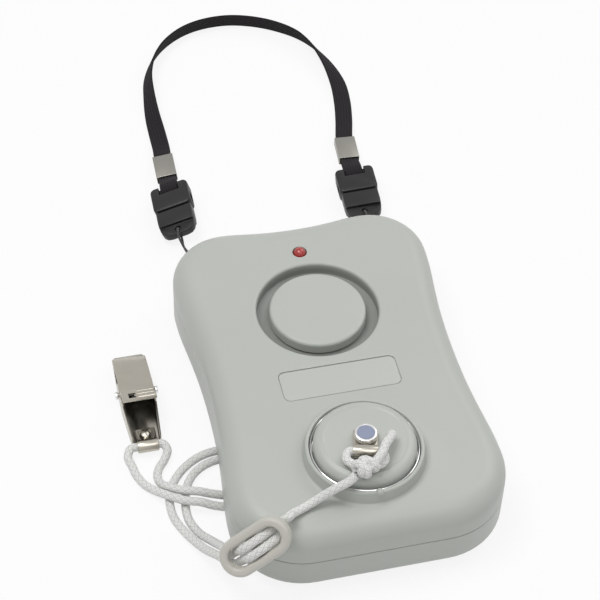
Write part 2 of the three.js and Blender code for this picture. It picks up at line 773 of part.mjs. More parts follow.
// Drawn with the cap's axis at the origin, then turned and put in place
function cordClasp() {
  const line = [
    [claspBack, claspLow], [-3, claspLow], ...arcPoints(-claspReach, foldZ, foldRadius, 270, 40, 10),
    [-4.1, claspHigh], [claspBack, claspHigh],
  ];
  const sheet = sideProfile(sheetOutline(line, claspSheet), claspWidth);
  return aboutCap(cut(sheet, rod(studHole, 4, 0, 0, claspLow - 1, 20)));
}

function capStud() {
  const headBottom = claspHigh + claspSheet / 2 + fitGap;
  return turned([
    [0, studHoleBottom + fitGap], [studShank, studHoleBottom + fitGap], [studShank, headBottom],
    [studRadius - 0.3, headBottom],
    [studRadius, headBottom + 0.3], [studRadius, headBottom + studHead - 0.4],
    [studRadius - 0.4, headBottom + studHead],
    [0, headBottom + studHead],
  ], 0, capY, 24);
}

add('keeper_cup', keeperCup(), steel);
add('magnet_cap', magnetCap(), greyPlastic);
add('cap_magnet', rod(magnetRadius, magnetHeight - 0.2, 0, capY, capBottom + 0.2, 36), magnetGrey);
add('cord_clasp', cordClasp(), steel);
add('cap_stud', capStud(), darkSteel);

// The cord's knot at the clasp, with the turn through the fold and the free tail, about the cap's axis
const knotAhead = 7.1; // from the fold to the middle of the knot
const knotSize = [4.2, 3.9, 3];

function cordKnot() {
  const knotY = -claspReach - knotAhead;
  const knotZ = foldZ + 1.3;
  const lump = solid(new THREE.SphereGeometry(1, 14, 10).scale(...knotSize).translate(0, knotY, knotZ));
  const half = [
    [0.6, knotY + 0.6, knotZ - 0.6], [3.2, knotY + 1, knotZ - 0.7], [5.3, -12, foldZ + 0.4],
    [6.3, -10.2, foldZ],
    [6.2, -8.5, foldZ], [5.4, -7.3, foldZ], [4, -claspReach, foldZ],
  ];
  const turn = tube([...half, [0, -claspReach, foldZ], ...half.map(([x, y, z]) => [-x, y, z]).reverse()],
    cordRadius, 8, 2);
  const tail = tube([
    [2, -14.6, foldZ + 2.6], [4.8, -10.8, foldZ + 3.7], [6.6, -5.6, foldZ + 2.9], [8.4, -1, foldZ + 1],
    [8.7, 0.6, foldZ + 0.3],
  ], cordRadius, 8, 3);
  return aboutCap(joined(lump, turn, tail));
}

add('cord_knot', cordKnot(), whiteCord);

// Cord slider: an oval ring with a low bar across its slot, leaning on the case corner
const sliderPlace = new THREE.Vector3(
  sliderInset - caseWidth / 2, sliderForward - caseLength / 2, caseTop - sliderDrop,
);
const sliderAlong = new THREE.Vector3(0.78, 0, 0.626).normalize();
const sliderFace = new THREE.Vector3(-0.4542, -0.6881, 0.5659).normalize();
const sliderAcross = sliderFace.clone().cross(sliderAlong).normalize();
const sliderGroup = new THREE.Group();
sliderGroup.position.copy(sliderPlace);
sliderGroup.setRotationFromMatrix(new THREE.Matrix4().makeBasis(
  sliderAlong, sliderAcross, sliderAlong.clone().cross(sliderAcross)));
model.add(sliderGroup);

function cordSlider() {
  const half = sliderThickness / 2;
  const oval = roundedPlate(slotShape(sliderLength, sliderWidth), sliderThickness, -half, 1, 2, 10);
  const slotWidth = sliderWidth - 2 * sliderRim;
  const slot = plate(
    slotShape(sliderLength - 2 * sliderRim, slotWidth), 2 * sliderThickness, -sliderThickness, 8,
  );
  return joined(cut(oval, slot), block(sliderBar, slotWidth + 1, half - 0.25, 0, 0, -half));
}

add('cord_slider', cordSlider(), sliderPlastic, sliderGroup);

// A point given in the slider's frame
const nearSlider = (along, across, out) => sliderPlace.clone()
  .addScaledVector(sliderAlong, along)
  .addScaledVector(sliderAcross, across)
  .addScaledVector(sliderFace, out)
  .toArray();

// Standing cord from the knot, over the collar and the face, to the slider
const strandOffset = 1.75;
const pullCordLine = [
  [-7.4, -57.4, 41], [-9.6, -58.2, 39.6], [-14, -58.6, 37.6], [-18, -58.4, 34.6], [-22, -59, 32.4],
  [-26.5, -60.6, 32],
  [-29.8, -62.6, 33.2], nearSlider(14, strandOffset, -4.5), nearSlider(11.4, strandOffset, -4.4),
  nearSlider(9.9, strandOffset, -4.1),
];
add('pull_cord', tube(pullCordLine, cordRadius, 8, 4), whiteCord);

// Doubled cord: out of the slider, round the bight under the case, through the clip and back
const inSlider = (across) => [
  nearSlider(9.2, across, -3.9), nearSlider(7.2, across, -2.1), nearSlider(5, across, 0),
  nearSlider(2.6, across, 1.5),
  nearSlider(0, across, 1.9), nearSlider(-2.6, across, 1.5), nearSlider(-5, across, 0),
  nearSlider(-7.2, across, -2.1),
  nearSlider(-9.2, across, -3.9), nearSlider(-11.6, across, -4.9),
];
const loopSheet = 0.5;
const loopLow = clipSheet + fitGap + loopSheet / 2;
const loopHigh = loopLow + loopSheet + fitGap;
const loopRadius = cordRadius + fitGap + loopSheet / 2;
const eyeY = -2.2;
const eyeZ = loopLow + loopRadius;
const clipCordLine = [
  ...inSlider(strandOffset), [-51.6, -57.2, 13.6], [-53.6, -49.6, 7], [-57, -41.6, 2.2],
  [-59.2, -35, 1.7], [-58.7, -27, 1.6],
  [-56.7, -20.6, 1.6], [-53.2, -16, 1.6], [-48, -13, 1.6], [-42.3, -12.2, 1.6], [-37.8, -13.8, 1.6],
  [-34.6, -18, 1.6],
  [-35, -23.2, 1.6], [-38.6, -27, 1.6], [-43.6, -28, 1.6], [-49.4, -27.4, 3.2], [-54, -26.6, 4.9],
  [-59.5, -25, 5],
  [-63.6, -22.2, 4.4], [-65.9, -18.4, 2.2], [-66.3, -14.8, 1.6], [-65, -11.4, 1.6],
  [-62.6, -8.4, 1.8], [-60.9, -4.8, 2.6],
  [clipX + 5.2, eyeY - 0.2, eyeZ], [clipX + 3.6, eyeY, eyeZ], [clipX - 3.6, eyeY, eyeZ],
  [clipX - 6, eyeY - 0.1, eyeZ],
  [-75, -5, 2.5], [-74.2, -8.6, 1.6], [-73.4, -12.8, 1.6], [-71.4, -17.4, 1.7], [-68.4, -21.6, 2.8],
  [-64.6, -26, 4.8],
  [-59.5, -29.4, 5], [-54, -31.2, 4.8], [-49.4, -32.4, 3], [-43.6, -33, 1.6], [-37, -31.8, 1.6],
  [-31.6, -27.4, 1.6],
  [-29.4, -20.8, 1.6], [-31.2, -14, 1.6], [-36.6, -9.6, 1.6], [-43, -8.2, 1.6], [-50.6, -9.6, 1.6],
  [-57.6, -14.2, 1.6],
  [-62.4, -20.6, 1.6], [-64.2, -27, 1.6], [-63.9, -33.6, 1.6], [-61.6, -40.2, 2.2], [-57.4, -49.6, 5],
  [-53.6, -58.6, 11.4],
  ...inSlider(-strandOffset).reverse(),
];
add('clip_cord', tube(clipCordLine, cordRadius, 8, 4.5), whiteCord);

// Garment clip: a channel body, a sprung jaw with a thumb tab, and a riveted sheet loop
function clipOutline(inset, tail) {
  const mouth = clipMouth - inset;
  const shape = new THREE.Shape();
  shape.moveTo(clipX - 5.2 + inset, tail);
  shape.lineTo(clipX + 5.2 - inset, tail);
  shape.lineTo(clipX + 6.3 - inset, 16);
  shape.lineTo(clipX + 6.3 - inset, 26);
  shape.lineTo(clipX + 5.8 - inset, mouth);
  shape.lineTo(clipX - 5.8 + inset, mouth);
  shape.lineTo(clipX - 6.3 + inset, 26);
  shape.lineTo(clipX - 6.3 + inset, 16);
  return shape;
}

const clipBore = clipPinRadius + fitGap;
const rivetY = 3.4;

function clipBase() {
  const side = sideProfile(
    [
      [clipTail, 0], [clipMouth, 0], [clipMouth, 1.8], [28, 2.6], [25, clipWall], [14, clipWall],
      [clipTail, 5.4],
    ],
    20, clipX,
  );
  return cut(
    plate(clipOutline(0, clipTail), clipWall, 0).intersect(side),
    plate(clipOutline(clipSheet, clipTail - 1), clipWall, clipSheet),
    crossRod(clipBore, 20, clipX, clipPinY, clipPinZ, 12),
    rod(1.3, 3, clipX, rivetY, -1, 12),
  );
}

function clipJaw() {
  const lid = sideProfile(sheetOutline([
    [12, 12], [15, 10.9], [19, 9], [22, 8.1], [25, 7.8], [34, 5.6], [clipMouth - 0.6, 3.2],
    [clipMouth, 2.3],
  ], clipSheet), 12.2, clipX);
  const corners = [-1, 1].map((side) => plate(new THREE.Shape([
    new THREE.Vector2(clipX + side * 3.8, clipMouth + 1),
    new THREE.Vector2(clipX + side * 7, clipMouth + 1),
    new THREE.Vector2(clipX + side * 7, clipMouth - 3),
  ]), 10, 0));
  const ears = [-1, 1].map((side) => sideProfile([
    [clipPinY - 1.7, clipPinZ - 1.2], [clipPinY, clipPinZ - 1.9], [clipPinY + 1.7, clipPinZ - 1.2],
    [clipPinY + 2.4, 8], [clipPinY - 2, 8.6],
  ], clipSheet, clipX + side * 4.7));
  const window = block(2.6, 3.2, 6, clipX - 2.4, 15, 8);
  const ribs = [13.4, 15.6, 17.8].map(
    (y) => crossRod(0.6, 5.6, clipX + 2.6, y, 12.15 - 0.47 * (y - 12), 8),
  );
  return cut(
    joined(lid, ...ears, ...ribs), ...corners, window,
    crossRod(clipBore, 20, clipX, clipPinY, clipPinZ, 12),
  );
}

function clipSpring() {
  const turns = 4;
  const points = Array.from({ length: 10 * turns + 1 }, (_, i) => {
    const angle = 2 * Math.PI * i / 10;
    return [
      clipX - 2.4 + 4.8 * i / (10 * turns), clipPinY + 2 * Math.cos(angle),
      clipPinZ + 2 * Math.sin(angle),
    ];
  });
  return tube(points, 0.4, 6, 1.3);
}

function clipPin() {
  const heads = [-1, 1].map((side) => crossRod(1.4, 1, clipX + side * 7.2, clipPinY, clipPinZ, 12));
  return joined(crossRod(clipPinRadius, 14.6, clipX, clipPinY, clipPinZ, 12), ...heads);
}

function clipLoop() {
  const line = [
    [6.4, loopLow], [0.4, loopLow], ...arcPoints(eyeY, eyeZ, loopRadius, 270, 50, 10),
    [0.6, loopHigh + 0.6], [1.6, loopHigh], [6.4, loopHigh],
  ];
  return cut(sideProfile(sheetOutline(line, loopSheet), 7.4, clipX), rod(1.3, 6, clipX, rivetY, 0, 12));
}

function clipRivet() {
  const top = loopHigh + loopSheet / 2 + fitGap;
  return turned(
    [[0, 0.1], [1, 0.1], [1, top], [2, top], [1.7, top + 0.7], [1, top + 1.1], [0, top + 1.2]], clipX,
    rivetY, 16,
  );
}

add('clip_base', clipBase(), steel);
add('clip_jaw', clipJaw(), steel);
add('clip_pin', clipPin(), steel);
add('clip_spring', clipSpring(), steel);
add('clip_loop', clipLoop(), steel);
add('clip_rivet', clipRivet(), steel);

// Buckles, each in its own frame: y towards the strap from the socket's mouth, z out of its face
function frameAt(x, y, z, yawDegrees, rollDegrees) {
  const frame = new THREE.Group();
  frame.position.set(x, y, z);
  frame.rotation.set(0, THREE.MathUtils.degToRad(rollDegrees), THREE.MathUtils.degToRad(yawDegrees), 'ZYX');
  frame.updateMatrixWorld(true);
  model.add(frame);
  return frame;
}

const strapEnd = caseLength / 2;
const buckles = {
  left: {
    frame: frameAt(-37, strapEnd + 35.6, 5.8, -1.9, -18),
    crimp: frameAt(-35.9, strapEnd + 63, 2.9, -1.9, -8),
  },
  right: {
    frame: frameAt(36.6, strapEnd + 31.6, 4.2, -2.9, -5),
    crimp: frameAt(38.3, strapEnd + 59, 2.4, -4, 0),
  },
};

function buckleSocket() {
  const outline = roundedRectangle(socketWidth, socketLength, 2, 0, socketLength / 2);
  const half = socketThickness / 2;
  const mouth = block(
    socketWidth - 2 * socketWall, socketDepth + 1, socketThickness - 2 * socketWall, 0,
    (socketDepth - 1) / 2, -half + socketWall,
  );
  const windows = block(2 * socketWidth, 4.4, socketThickness - 2 * socketWall, 0, 4.2, -half + socketWall);
  const slotEnd = socketLength - buckleBar;
  const slotStart = socketDepth + 0.8;
  const slot = block(
    strapWidth + 1.2, slotEnd - slotStart, 2 * socketThickness, 0, (slotEnd + slotStart) / 2,
    -socketThickness,
  );
  const barRelief = [1.2, -1.2 - socketThickness].reverse().map((z) => block(
    strapWidth + 1.2, buckleBar + 2, socketThickness, 0, slotEnd + buckleBar / 2 + 1, z,
  ));
  return cut(roundedPlate(outline, socketThickness, -half, 0.8, 2, 3), mouth, windows, slot, ...barRelief);
}

function bucklePlug() {
  const shape = new THREE.Shape();
  const half = socketWidth / 2 - 0.5;
  shape.moveTo(half, -fitGap);
  shape.lineTo(half, -6);
  shape.quadraticCurveTo(half, -plugReach, 3.2, -plugReach);
  shape.lineTo(-3.2, -plugReach);
  shape.quadraticCurveTo(-half, -plugReach, -half, -6);
  shape.lineTo(-half, -fitGap);
  const base = roundedPlate(shape, 5.6, -2.8, 0.7, 2, 4);
  const thinning = [-1, 1].map((side) => block(20, 6, 4, 0, -plugReach + 1.6, side > 0 ? 1.5 : -5.5));
  const reach = socketDepth - 1.4;
  const thickness = socketThickness - 2 * socketWall - 2 * fitGap;
  const prongX = socketWidth / 2 - socketWall - fitGap;
  const prongs = [-1, 1].map((side) => plate(new THREE.Shape([
    new THREE.Vector2(side * prongX, -1), new THREE.Vector2(side * prongX, reach - 1.5),
    new THREE.Vector2(side * (prongX - 1.2), reach),
    new THREE.Vector2(side * (prongX - 2.4), reach - 1), new THREE.Vector2(side * (prongX - 1.9), -1),
  ]), thickness, -thickness / 2));
  const guide = block(2, reach, thickness, 0, (reach - 1) / 2, -thickness / 2);
  return cut(joined(base, ...prongs, guide), ...thinning, rod(1.2, 8, 0, -plugReach + 2.5, -4, 12));
}

function crimpSleeve() {
  const layers = 2 * strapThickness + 0.5;
  const height = layers + 2 * fitGap + 2 * crimpSheet;
  const width = strapWidth + 2 * fitGap + 2 * crimpSheet;
  const inner = block(
    width - 2 * crimpSheet, 2 * crimpLength, height - 2 * crimpSheet, 0, 0, -height / 2 + crimpSheet,
  );
  return cut(block(width, crimpLength, height, 0, 0, -height / 2), inner);
}

Object.entries(buckles).forEach(([side, { frame, crimp }]) => {
  add(`socket_${side}`, buckleSocket(), blackPlastic, frame);
  add(`plug_${side}`, bucklePlug(), blackPlastic, frame);
  add(`crimp_${side}`, crimpSleeve(), steel, crimp);
});

// Strap: folded round each socket's bar, through the crimps and over the arch behind the case
const layer = strapThickness / 2 + 0.25;
const wrap = 1.2 + fitGap + strapThickness / 2;
const barFace = socketLength - buckleBar - fitGap - strapThickness / 2;
const crimpHalf = crimpLength / 2;

function stationsAt(frame, points, direction) {
  const across = new THREE.Vector3(direction, 0, 0).transformDirection(frame.matrixWorld);
  return points.map(([y, z]) => ({ centre: frame.localToWorld(new THREE.Vector3(0, y, z)), across }));
}

function foldStations({ frame, crimp }, direction) {
  const aroundBar = [
    [socketLength + 2.4, -1.5], [socketLength + 0.6, -wrap], [barFace + 1.4, -wrap],
    [barFace + 0.2, -1.4], [barFace, 0],
    [barFace + 0.2, 1.4], [barFace + 1.4, wrap], [socketLength + 0.6, wrap], [socketLength + 2.4, 1.5],
  ];
  return [
    ...stationsAt(crimp, [[crimpHalf - 1, -layer], [0, -layer], [-crimpHalf, -layer]], direction),
    ...stationsAt(frame, aroundBar, direction),
    ...stationsAt(crimp, [[-crimpHalf, layer], [0, layer], [crimpHalf, layer]], direction),
  ];
}

// Centre line of the arch from the strap end, with the band's lean from the table in degrees
const archLine = [
  [-35.3, 75, 2.4, 6], [-35.2, 84, 1.9, 18], [-35.3, 96, 2.7, 38], [-34.5, 108, 3.4, 53],
  [-33, 118, 3.7, 62],
  [-29.3, 127.6, 3.9, 70], [-23.2, 136.2, 4, 75], [-14.5, 143, 4, 77], [-5.2, 146.4, 4, 77],
  [6, 147, 4, 77],
  [16.3, 144.4, 4, 77], [26.4, 139, 4, 76], [34.8, 131.4, 3.9, 70], [40, 122.2, 3.5, 57],
  [43.3, 112, 2.6, 37],
  [44.8, 101, 1.5, 15], [43.9, 89, 1.3, 4], [41.6, 77, 1.8, 0],
];

function archStations() {
  return archLine.map(([x, y, z, lean], i) => {
    const before = archLine[Math.max(i - 1, 0)];
    const after = archLine[Math.min(i + 1, archLine.length - 1)];
    const inward = new THREE.Vector3(after[1] - before[1], before[0] - after[0], 0).normalize();
    const angle = THREE.MathUtils.degToRad(lean);
    return {
      centre: new THREE.Vector3(x, strapEnd + y, z),
      across: inward.multiplyScalar(Math.cos(angle)).setZ(Math.sin(angle)),
    };
  });
}

add('strap', band(
  [...foldStations(buckles.left, 1), ...archStations(), ...foldStations(buckles.right, -1).reverse()],
  strapWidth, strapThickness,
), blackWebbing);

// Thin loops from the holes in the strap end, each through the eye in a plug's nose
const noseLoop = [
  [-plugReach - 4, 2.8], [-plugReach - 0.4, 2.6], [-plugReach + 1.6, 2.1], [-plugReach + 2.5, 0.9],
  [-plugReach + 2.5, -0.9],
  [-plugReach + 1.6, -2.1], [-plugReach - 0.4, -2.6], [-plugReach - 4, -2.8],
];

function plugLoop({ frame }, [firstX, secondX], wallY) {
  const nose = noseLoop.map(([y, z]) => frame.localToWorld(new THREE.Vector3(0, y, z)).toArray());
  const start = wallY + fitGap;
  return tube([
    [firstX, start, loopHoleZ],
    [firstX, start + 4, loopHoleZ - 2], ...nose, [secondX, start + 4, loopHoleZ - 3],
    [secondX, start, loopHoleZ],
  ], thinCordRadius, 8, 1.8);
}

const holeWallY = caseLength / 2 - topCorner + Math.sqrt(
  topCorner ** 2 - (34.1 - caseWidth / 2 + topCorner) ** 2,
);
add('plug_loop_left', plugLoop(buckles.left, [loopHoles[0], loopHoles[1]], holeWallY), blackWebbing);
add('plug_loop_right', plugLoop(buckles.right, [loopHoles[3], loopHoles[2]], holeWallY), blackWebbing);

export default model;
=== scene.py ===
import math

import bmesh
import bpy
import numpy as np
from mathutils import Matrix, Vector


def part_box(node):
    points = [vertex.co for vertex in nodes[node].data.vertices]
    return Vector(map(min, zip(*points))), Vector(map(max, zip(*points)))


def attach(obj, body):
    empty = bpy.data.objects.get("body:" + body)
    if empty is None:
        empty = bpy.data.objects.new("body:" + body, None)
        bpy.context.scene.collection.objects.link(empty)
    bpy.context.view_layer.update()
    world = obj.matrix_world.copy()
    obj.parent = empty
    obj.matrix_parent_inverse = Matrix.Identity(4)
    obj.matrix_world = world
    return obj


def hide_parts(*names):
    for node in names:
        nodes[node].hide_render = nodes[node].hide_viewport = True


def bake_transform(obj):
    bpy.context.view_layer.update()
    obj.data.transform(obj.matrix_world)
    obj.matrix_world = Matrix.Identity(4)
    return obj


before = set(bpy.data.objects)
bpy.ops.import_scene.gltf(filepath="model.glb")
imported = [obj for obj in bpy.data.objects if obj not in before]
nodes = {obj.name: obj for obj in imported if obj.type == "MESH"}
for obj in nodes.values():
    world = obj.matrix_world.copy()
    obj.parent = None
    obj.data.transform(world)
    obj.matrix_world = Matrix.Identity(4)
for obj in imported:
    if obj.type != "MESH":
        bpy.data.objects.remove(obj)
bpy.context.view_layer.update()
mm = 0.001


scene = bpy.context.scene
scene.view_settings.view_transform = "Standard"

cameraView = {
    "place": (-123.12, -421.41, 546.57),
    "right": (0.97360, -0.22703, 0.02345),
    "up": (0.15314, 0.72596, 0.67047),
    "lens": 116.48,
}


def makeCamera(view):
    data = bpy.data.cameras.new("camera")
    data.lens, data.sensor_width, data.sensor_fit = view["lens"], 36, "HORIZONTAL"
    data.clip_start, data.clip_end = 0.05, 20
    camera = bpy.data.objects.new("camera", data)
    scene.collection.objects.link(camera)
    right, up = Vector(view["right"]).normalized(), Vector(view["up"]).normalized()
    back = right.cross(up).normalized()
    up = back.cross(right)
    turn = Matrix((right, up, back)).transposed().to_4x4()
    camera.matrix_world = Matrix.Translation(Vector(view["place"]) * mm) @ turn
    scene.camera = camera


makeCamera(cameraView)
print("camera set")


# Shader maths
class Value:
    def __init__(self, shader, socket):
        self.shader, self.socket = shader, socket

    def math(self, operation, *others, clamp=False):
        return self.shader.node("ShaderNodeMath", {"operation": operation, "use_clamp": clamp},
                                [self, *others])

    def __add__(self, other):
        return self.math("ADD", other)

    def __radd__(self, other):
        return self.math("ADD", other)

    def __sub__(self, other):
        return self.math("SUBTRACT", other)

    def __rsub__(self, other):
        return self.shader.number(other).math("SUBTRACT", self)

    def __mul__(self, other):
        return self.math("MULTIPLY", other)

    def __rmul__(self, other):
        return self.math("MULTIPLY", other)

    def __truediv__(self, other):
        return self.math("DIVIDE", other)

    def __rtruediv__(self, other):
        return self.shader.number(other).math("DIVIDE", self)

    def __pow__(self, other):
        return self.math("POWER", other)

    def __abs__(self):
        return self.math("ABSOLUTE")


class Shader:
    def __init__(self, name):
        self.material = bpy.data.materials.new(name)
        self.material.use_nodes = True
        self.tree = self.material.node_tree
        self.tree.nodes.clear()
        self.output = self.tree.nodes.new("ShaderNodeOutputMaterial")

    def node(self, kind, settings=None, inputs=None, out=0):
        made = self.tree.nodes.new(kind)
        for key, value in (settings or {}).items():
            if key == "stops":
                ramp = made.color_ramp
                while len(ramp.elements) < len(value):
                    ramp.elements.new(0.5)
                for element, (place, color) in zip(ramp.elements, value):
                    element.position, element.color = place, color
            else:
                setattr(made, key, value)
        pairs = inputs.items() if isinstance(inputs, dict) else enumerate(inputs or [])
        for key, value in pairs:
            self.feed(made.inputs[key], value)
        return Value(self, made.outputs[out])

    def feed(self, socket, value):
        if isinstance(value, Value):
            self.tree.links.new(value.socket, socket)
        else:
            socket.default_value = value

    def number(self, value):
        made = self.tree.nodes.new("ShaderNodeValue")
        made.outputs[0].default_value = value
        return Value(self, made.outputs[0])

    def place(self, scale=1.0):
        spot = self.node("ShaderNodeTexCoord", out="Object")
        return self.node("ShaderNodeMapping", None, {"Vector": spot, "Scale": (scale, scale, scale)})

    def uv(self, axis):
        spot = self.node("ShaderNodeTexCoord", out="UV")
        return self.node("ShaderNodeSeparateXYZ", None, {"Vector": spot}, out=axis)

    def noise(self, scale, detail=3.0, rough=0.55, spot=None):
        return self.node("ShaderNodeTexNoise", None, {
            "Vector": spot or self.place(), "Scale": scale, "Detail": detail, "Roughness": rough})

    def blendColors(self, amount, first, second):
        made = self.tree.nodes.new("ShaderNodeMix")
        made.data_type = "RGBA"
        self.feed(made.inputs[0], amount)
        self.feed(made.inputs[6], first)
        self.feed(made.inputs[7], second)
        return Value(self, made.outputs[2])

    def bump(self, height, strength, distance=0.0002):
        return self.node("ShaderNodeBump", None, {
            "Height": height, "Strength": strength, "Distance": distance})

    def finish(self, inputs):
        surface = self.node("ShaderNodeBsdfPrincipled", None, inputs)
        self.tree.links.new(surface.socket, self.output.inputs["Surface"])
        return self.material


def shade(color, factor):
    return tuple(min(1.0, c * factor) for c in color[:3]) + (1.0,)


def mouldedPlastic(name, color, roughness=0.42, grain=0.25, grainScale=2600.0, coat=0.0, shadow=None):
    shader = Shader(name)
    cloud = shader.noise(28.0, 4.0)
    speck = shader.noise(grainScale, 2.0)
    tint = shader.blendColors(cloud, shade(color, 0.965), shade(color, 1.03))
    if shadow:
        # painted shade: darker towards the bottom of a groove, from its rim's height down to its floor,
        # standing in for the shade that falls there
        low, high, darkest = shadow
        height = shader.node("ShaderNodeSeparateXYZ", None, {"Vector": shader.place()}, out=2)
        depth = ((high * mm - height) / ((high - low) * mm)).math("MULTIPLY", 1.0, clamp=True)
        tint = shader.blendColors(depth, tint, shade(color, darkest))
    return shader.finish({
        "Base Color": tint,
        "Roughness": cloud * 0.08 + speck * 0.06 + (roughness - 0.07),
        "Specular IOR Level": 0.42, "Coat Weight": coat, "Coat Roughness": 0.25,
        "Normal": shader.bump(speck, grain, 0.00008),
    })


def platedMetal(name, color, roughness=0.22, wear=0.5, stretch=(1.0, 1.0, 1.0)):
    shader = Shader(name)
    spot = shader.node("ShaderNodeTexCoord", out="Object")
    along = shader.node("ShaderNodeMapping", None, {"Vector": spot, "Scale": stretch})
    scratch = shader.noise(900.0, 4.0, 0.6, along)
    cloud = shader.noise(120.0, 3.0)
    tint = shader.blendColors(cloud, shade(color, 1.0 - 0.16 * wear), shade(color, 1.05))
    return shader.finish({
        "Base Color": tint, "Metallic": 1.0,
        "Roughness": cloud * 0.12 + scratch * 0.14 + (roughness - 0.12),
        "Normal": shader.bump(scratch, 0.12, 0.00005),
    })


def braidedCord(name, color, paintedValleyShade, strands=10.0, pitch=0.8):
    # u runs once round the cord, v counts turns along it
    shader = Shader(name)
    around, along = shader.uv(0), shader.uv(1)
    right = around * strands + along * (strands * pitch)
    left = around * strands - along * (strands * pitch)
    rightRidge = abs((right * math.pi).math("SINE"))
    leftRidge = abs((left * math.pi).math("SINE"))
    over = ((right + left) * (math.pi / 2)).math("SINE") * ((right - left) * (math.pi / 2)).math("SINE")
    pick = (over * 3.0 + 0.5).math("MAXIMUM", 0.0, clamp=True)
    height = rightRidge * pick + leftRidge * (1 - pick)
    fibre = shader.noise(5200.0, 2.0)
    fuzz = shader.noise(420.0, 3.0)
    # painted shade: the tint falls to the darker colour in the valleys between the strands; the fibre
    # noise is the thread's own tone
    tint = shader.blendColors((height * 0.85 + fibre * 0.25).math("MULTIPLY", 1.0, clamp=True), paintedValleyShade,
                              color)
    return shader.finish({
        "Base Color": tint, "Roughness": fuzz * 0.15 + 0.68,
        "Sheen Weight": 0.25, "Sheen Roughness": 0.5,
        "Normal": shader.bump(height + fibre * 0.25, 0.65, 0.0002),
    })


def ribbedWebbing(name, color, light):
    # u crosses the band, v runs along it
    shader = Shader(name)
    across, along = shader.uv(0), shader.uv(1)
    rib = abs((across * (6 * math.pi)).math("SINE"))
    lean = ((along * 420.0 + across * 18.0) * math.pi).math("SINE") * 0.5 + 0.5
    thread = shader.noise(3800.0, 2.0)
    height = rib * 0.7 + lean * 0.3
    # painted highlight and shade: raised ribs and twill threads take the lighter colour, the grooves the
    # darker; the thread noise is the band's own tone
    tint = shader.blendColors((height * 0.5 + thread * 0.4).math("MULTIPLY", 1.0, clamp=True), color,
                              light)
    return shader.finish({
        "Base Color": tint, "Roughness": thread * 0.15 + 0.78, "Specular IOR Level": 0.25,
        "Sheen Weight": 0.03, "Sheen Roughness": 0.5,
        "Normal": shader.bump(height + thread * 0.3, 0.6, 0.00018),
    })


finishes = {
    "case": (0.515, 0.535, 0.500, 1), "slider": (0.60, 0.585, 0.53, 1), "crimp": (0.33, 0.32, 0.29, 1),
    "black": (0.010, 0.009, 0.0095, 1), "rubber": (0.03, 0.03, 0.03, 1), "nickel": (0.50, 0.47, 0.41, 1),
    "chrome": (0.78, 0.78, 0.78, 1), "stud": (0.27, 0.30, 0.40, 1), "brass": (0.72, 0.50, 0.18, 1),
    "cord": (0.93, 0.93, 0.91, 1), "cordPaintedValleyShade": (0.58, 0.58, 0.56, 1),
}

casePlastic = mouldedPlastic("caseGrey", finishes["case"], 0.40, 0.22)
# painted shade: the case plastic, painted darker towards the floor of the siren well
wellPaintedShadePlastic = mouldedPlastic("wellGrey", finishes["case"], 0.45, 0.22, shadow=(27.2, 29.6, 0.56))
coverPlastic = mouldedPlastic("coverGrey", shade(finishes["case"], 1.02), 0.38, 0.18)
sliderPlastic = mouldedPlastic("sliderGrey", finishes["slider"], 0.34, 0.12, 1800.0, 0.15)
blackPlastic = mouldedPlastic("buckleBlack", finishes["black"], 0.42, 0.35, 2200.0)
footRubber = mouldedPlastic("footRubber", finishes["rubber"], 0.75, 0.6, 1500.0)
# painted shade: a much darker copy of the nickel for the inside of the clip's channel
channelNickel = platedMetal("channelNickel", shade(finishes["nickel"], 0.22), 0.30, 0.8,
                            (1.0, 0.15, 1.0))
nickel = platedMetal("clipNickel", finishes["nickel"], 0.24, 0.6, (1.0, 0.15, 1.0))
crimpSteel = platedMetal("crimpSteel", finishes["crimp"], 0.34, 0.4, (0.2, 1.0, 1.0))
brightSteel = platedMetal("brightSteel", finishes["chrome"], 0.20, 0.2, (0.2, 1.0, 1.0))
keeperChrome = platedMetal("keeperChrome", finishes["chrome"], 0.14, 0.15)
studSteel = platedMetal("studBlue", finishes["stud"], 0.42, 0.5)
studRim = platedMetal("studRim", (0.75, 0.74, 0.72, 1), 0.3, 0.3)
sheetBrass = platedMetal("discBrass", finishes["brass"], 0.3, 0.4)
magnetPlate = platedMetal("magnetPlate", (0.35, 0.35, 0.37, 1), 0.35, 0.5)
# the second colour of each braid is painted shade for the valleys between its strands
whiteBraid = braidedCord("whiteBraid", finishes["cord"], finishes["cordPaintedValleyShade"])
blackBraid = braidedCord("blackBraid", (0.03, 0.03, 0.032, 1), (0.006, 0.006, 0.006, 1))
# the second colour is a painted highlight for the raised ribs of the black webbing
webbing = ribbedWebbing("strapWebbing", (0.006, 0.005, 0.006, 1), (0.026, 0.023, 0.026, 1))
boardGreen = mouldedPlastic("boardGreen", (0.02, 0.13, 0.05, 1), 0.35, 0.3, 900.0, 0.3)
cellSleeve = mouldedPlastic("cellSleeve", (0.05, 0.06, 0.075, 1), 0.3, 0.05, 900.0, 0.3)
lampRed = mouldedPlastic("lampRed", (0.42, 0.018, 0.012, 1), 0.14, 0.03, 500.0, 0.8)
labelFilm = mouldedPlastic("labelFilm", shade(finishes["case"], 1.05), 0.42, 0.10, 900.0)
switchGlass = mouldedPlastic("switchGlass", (0.55, 0.72, 0.64, 1), 0.08, 0.02, 300.0, 0.9)
redWire = mouldedPlastic("redWire", (0.38, 0.02, 0.015, 1), 0.4, 0.1)
blackWire = mouldedPlastic("blackWire", (0.015, 0.015, 0.017, 1), 0.4, 0.1)
print("finishes made")


# Meshes
def link(name, mesh):
    piece = bpy.data.objects.new(name, mesh)
    scene.collection.objects.link(piece)
    return piece


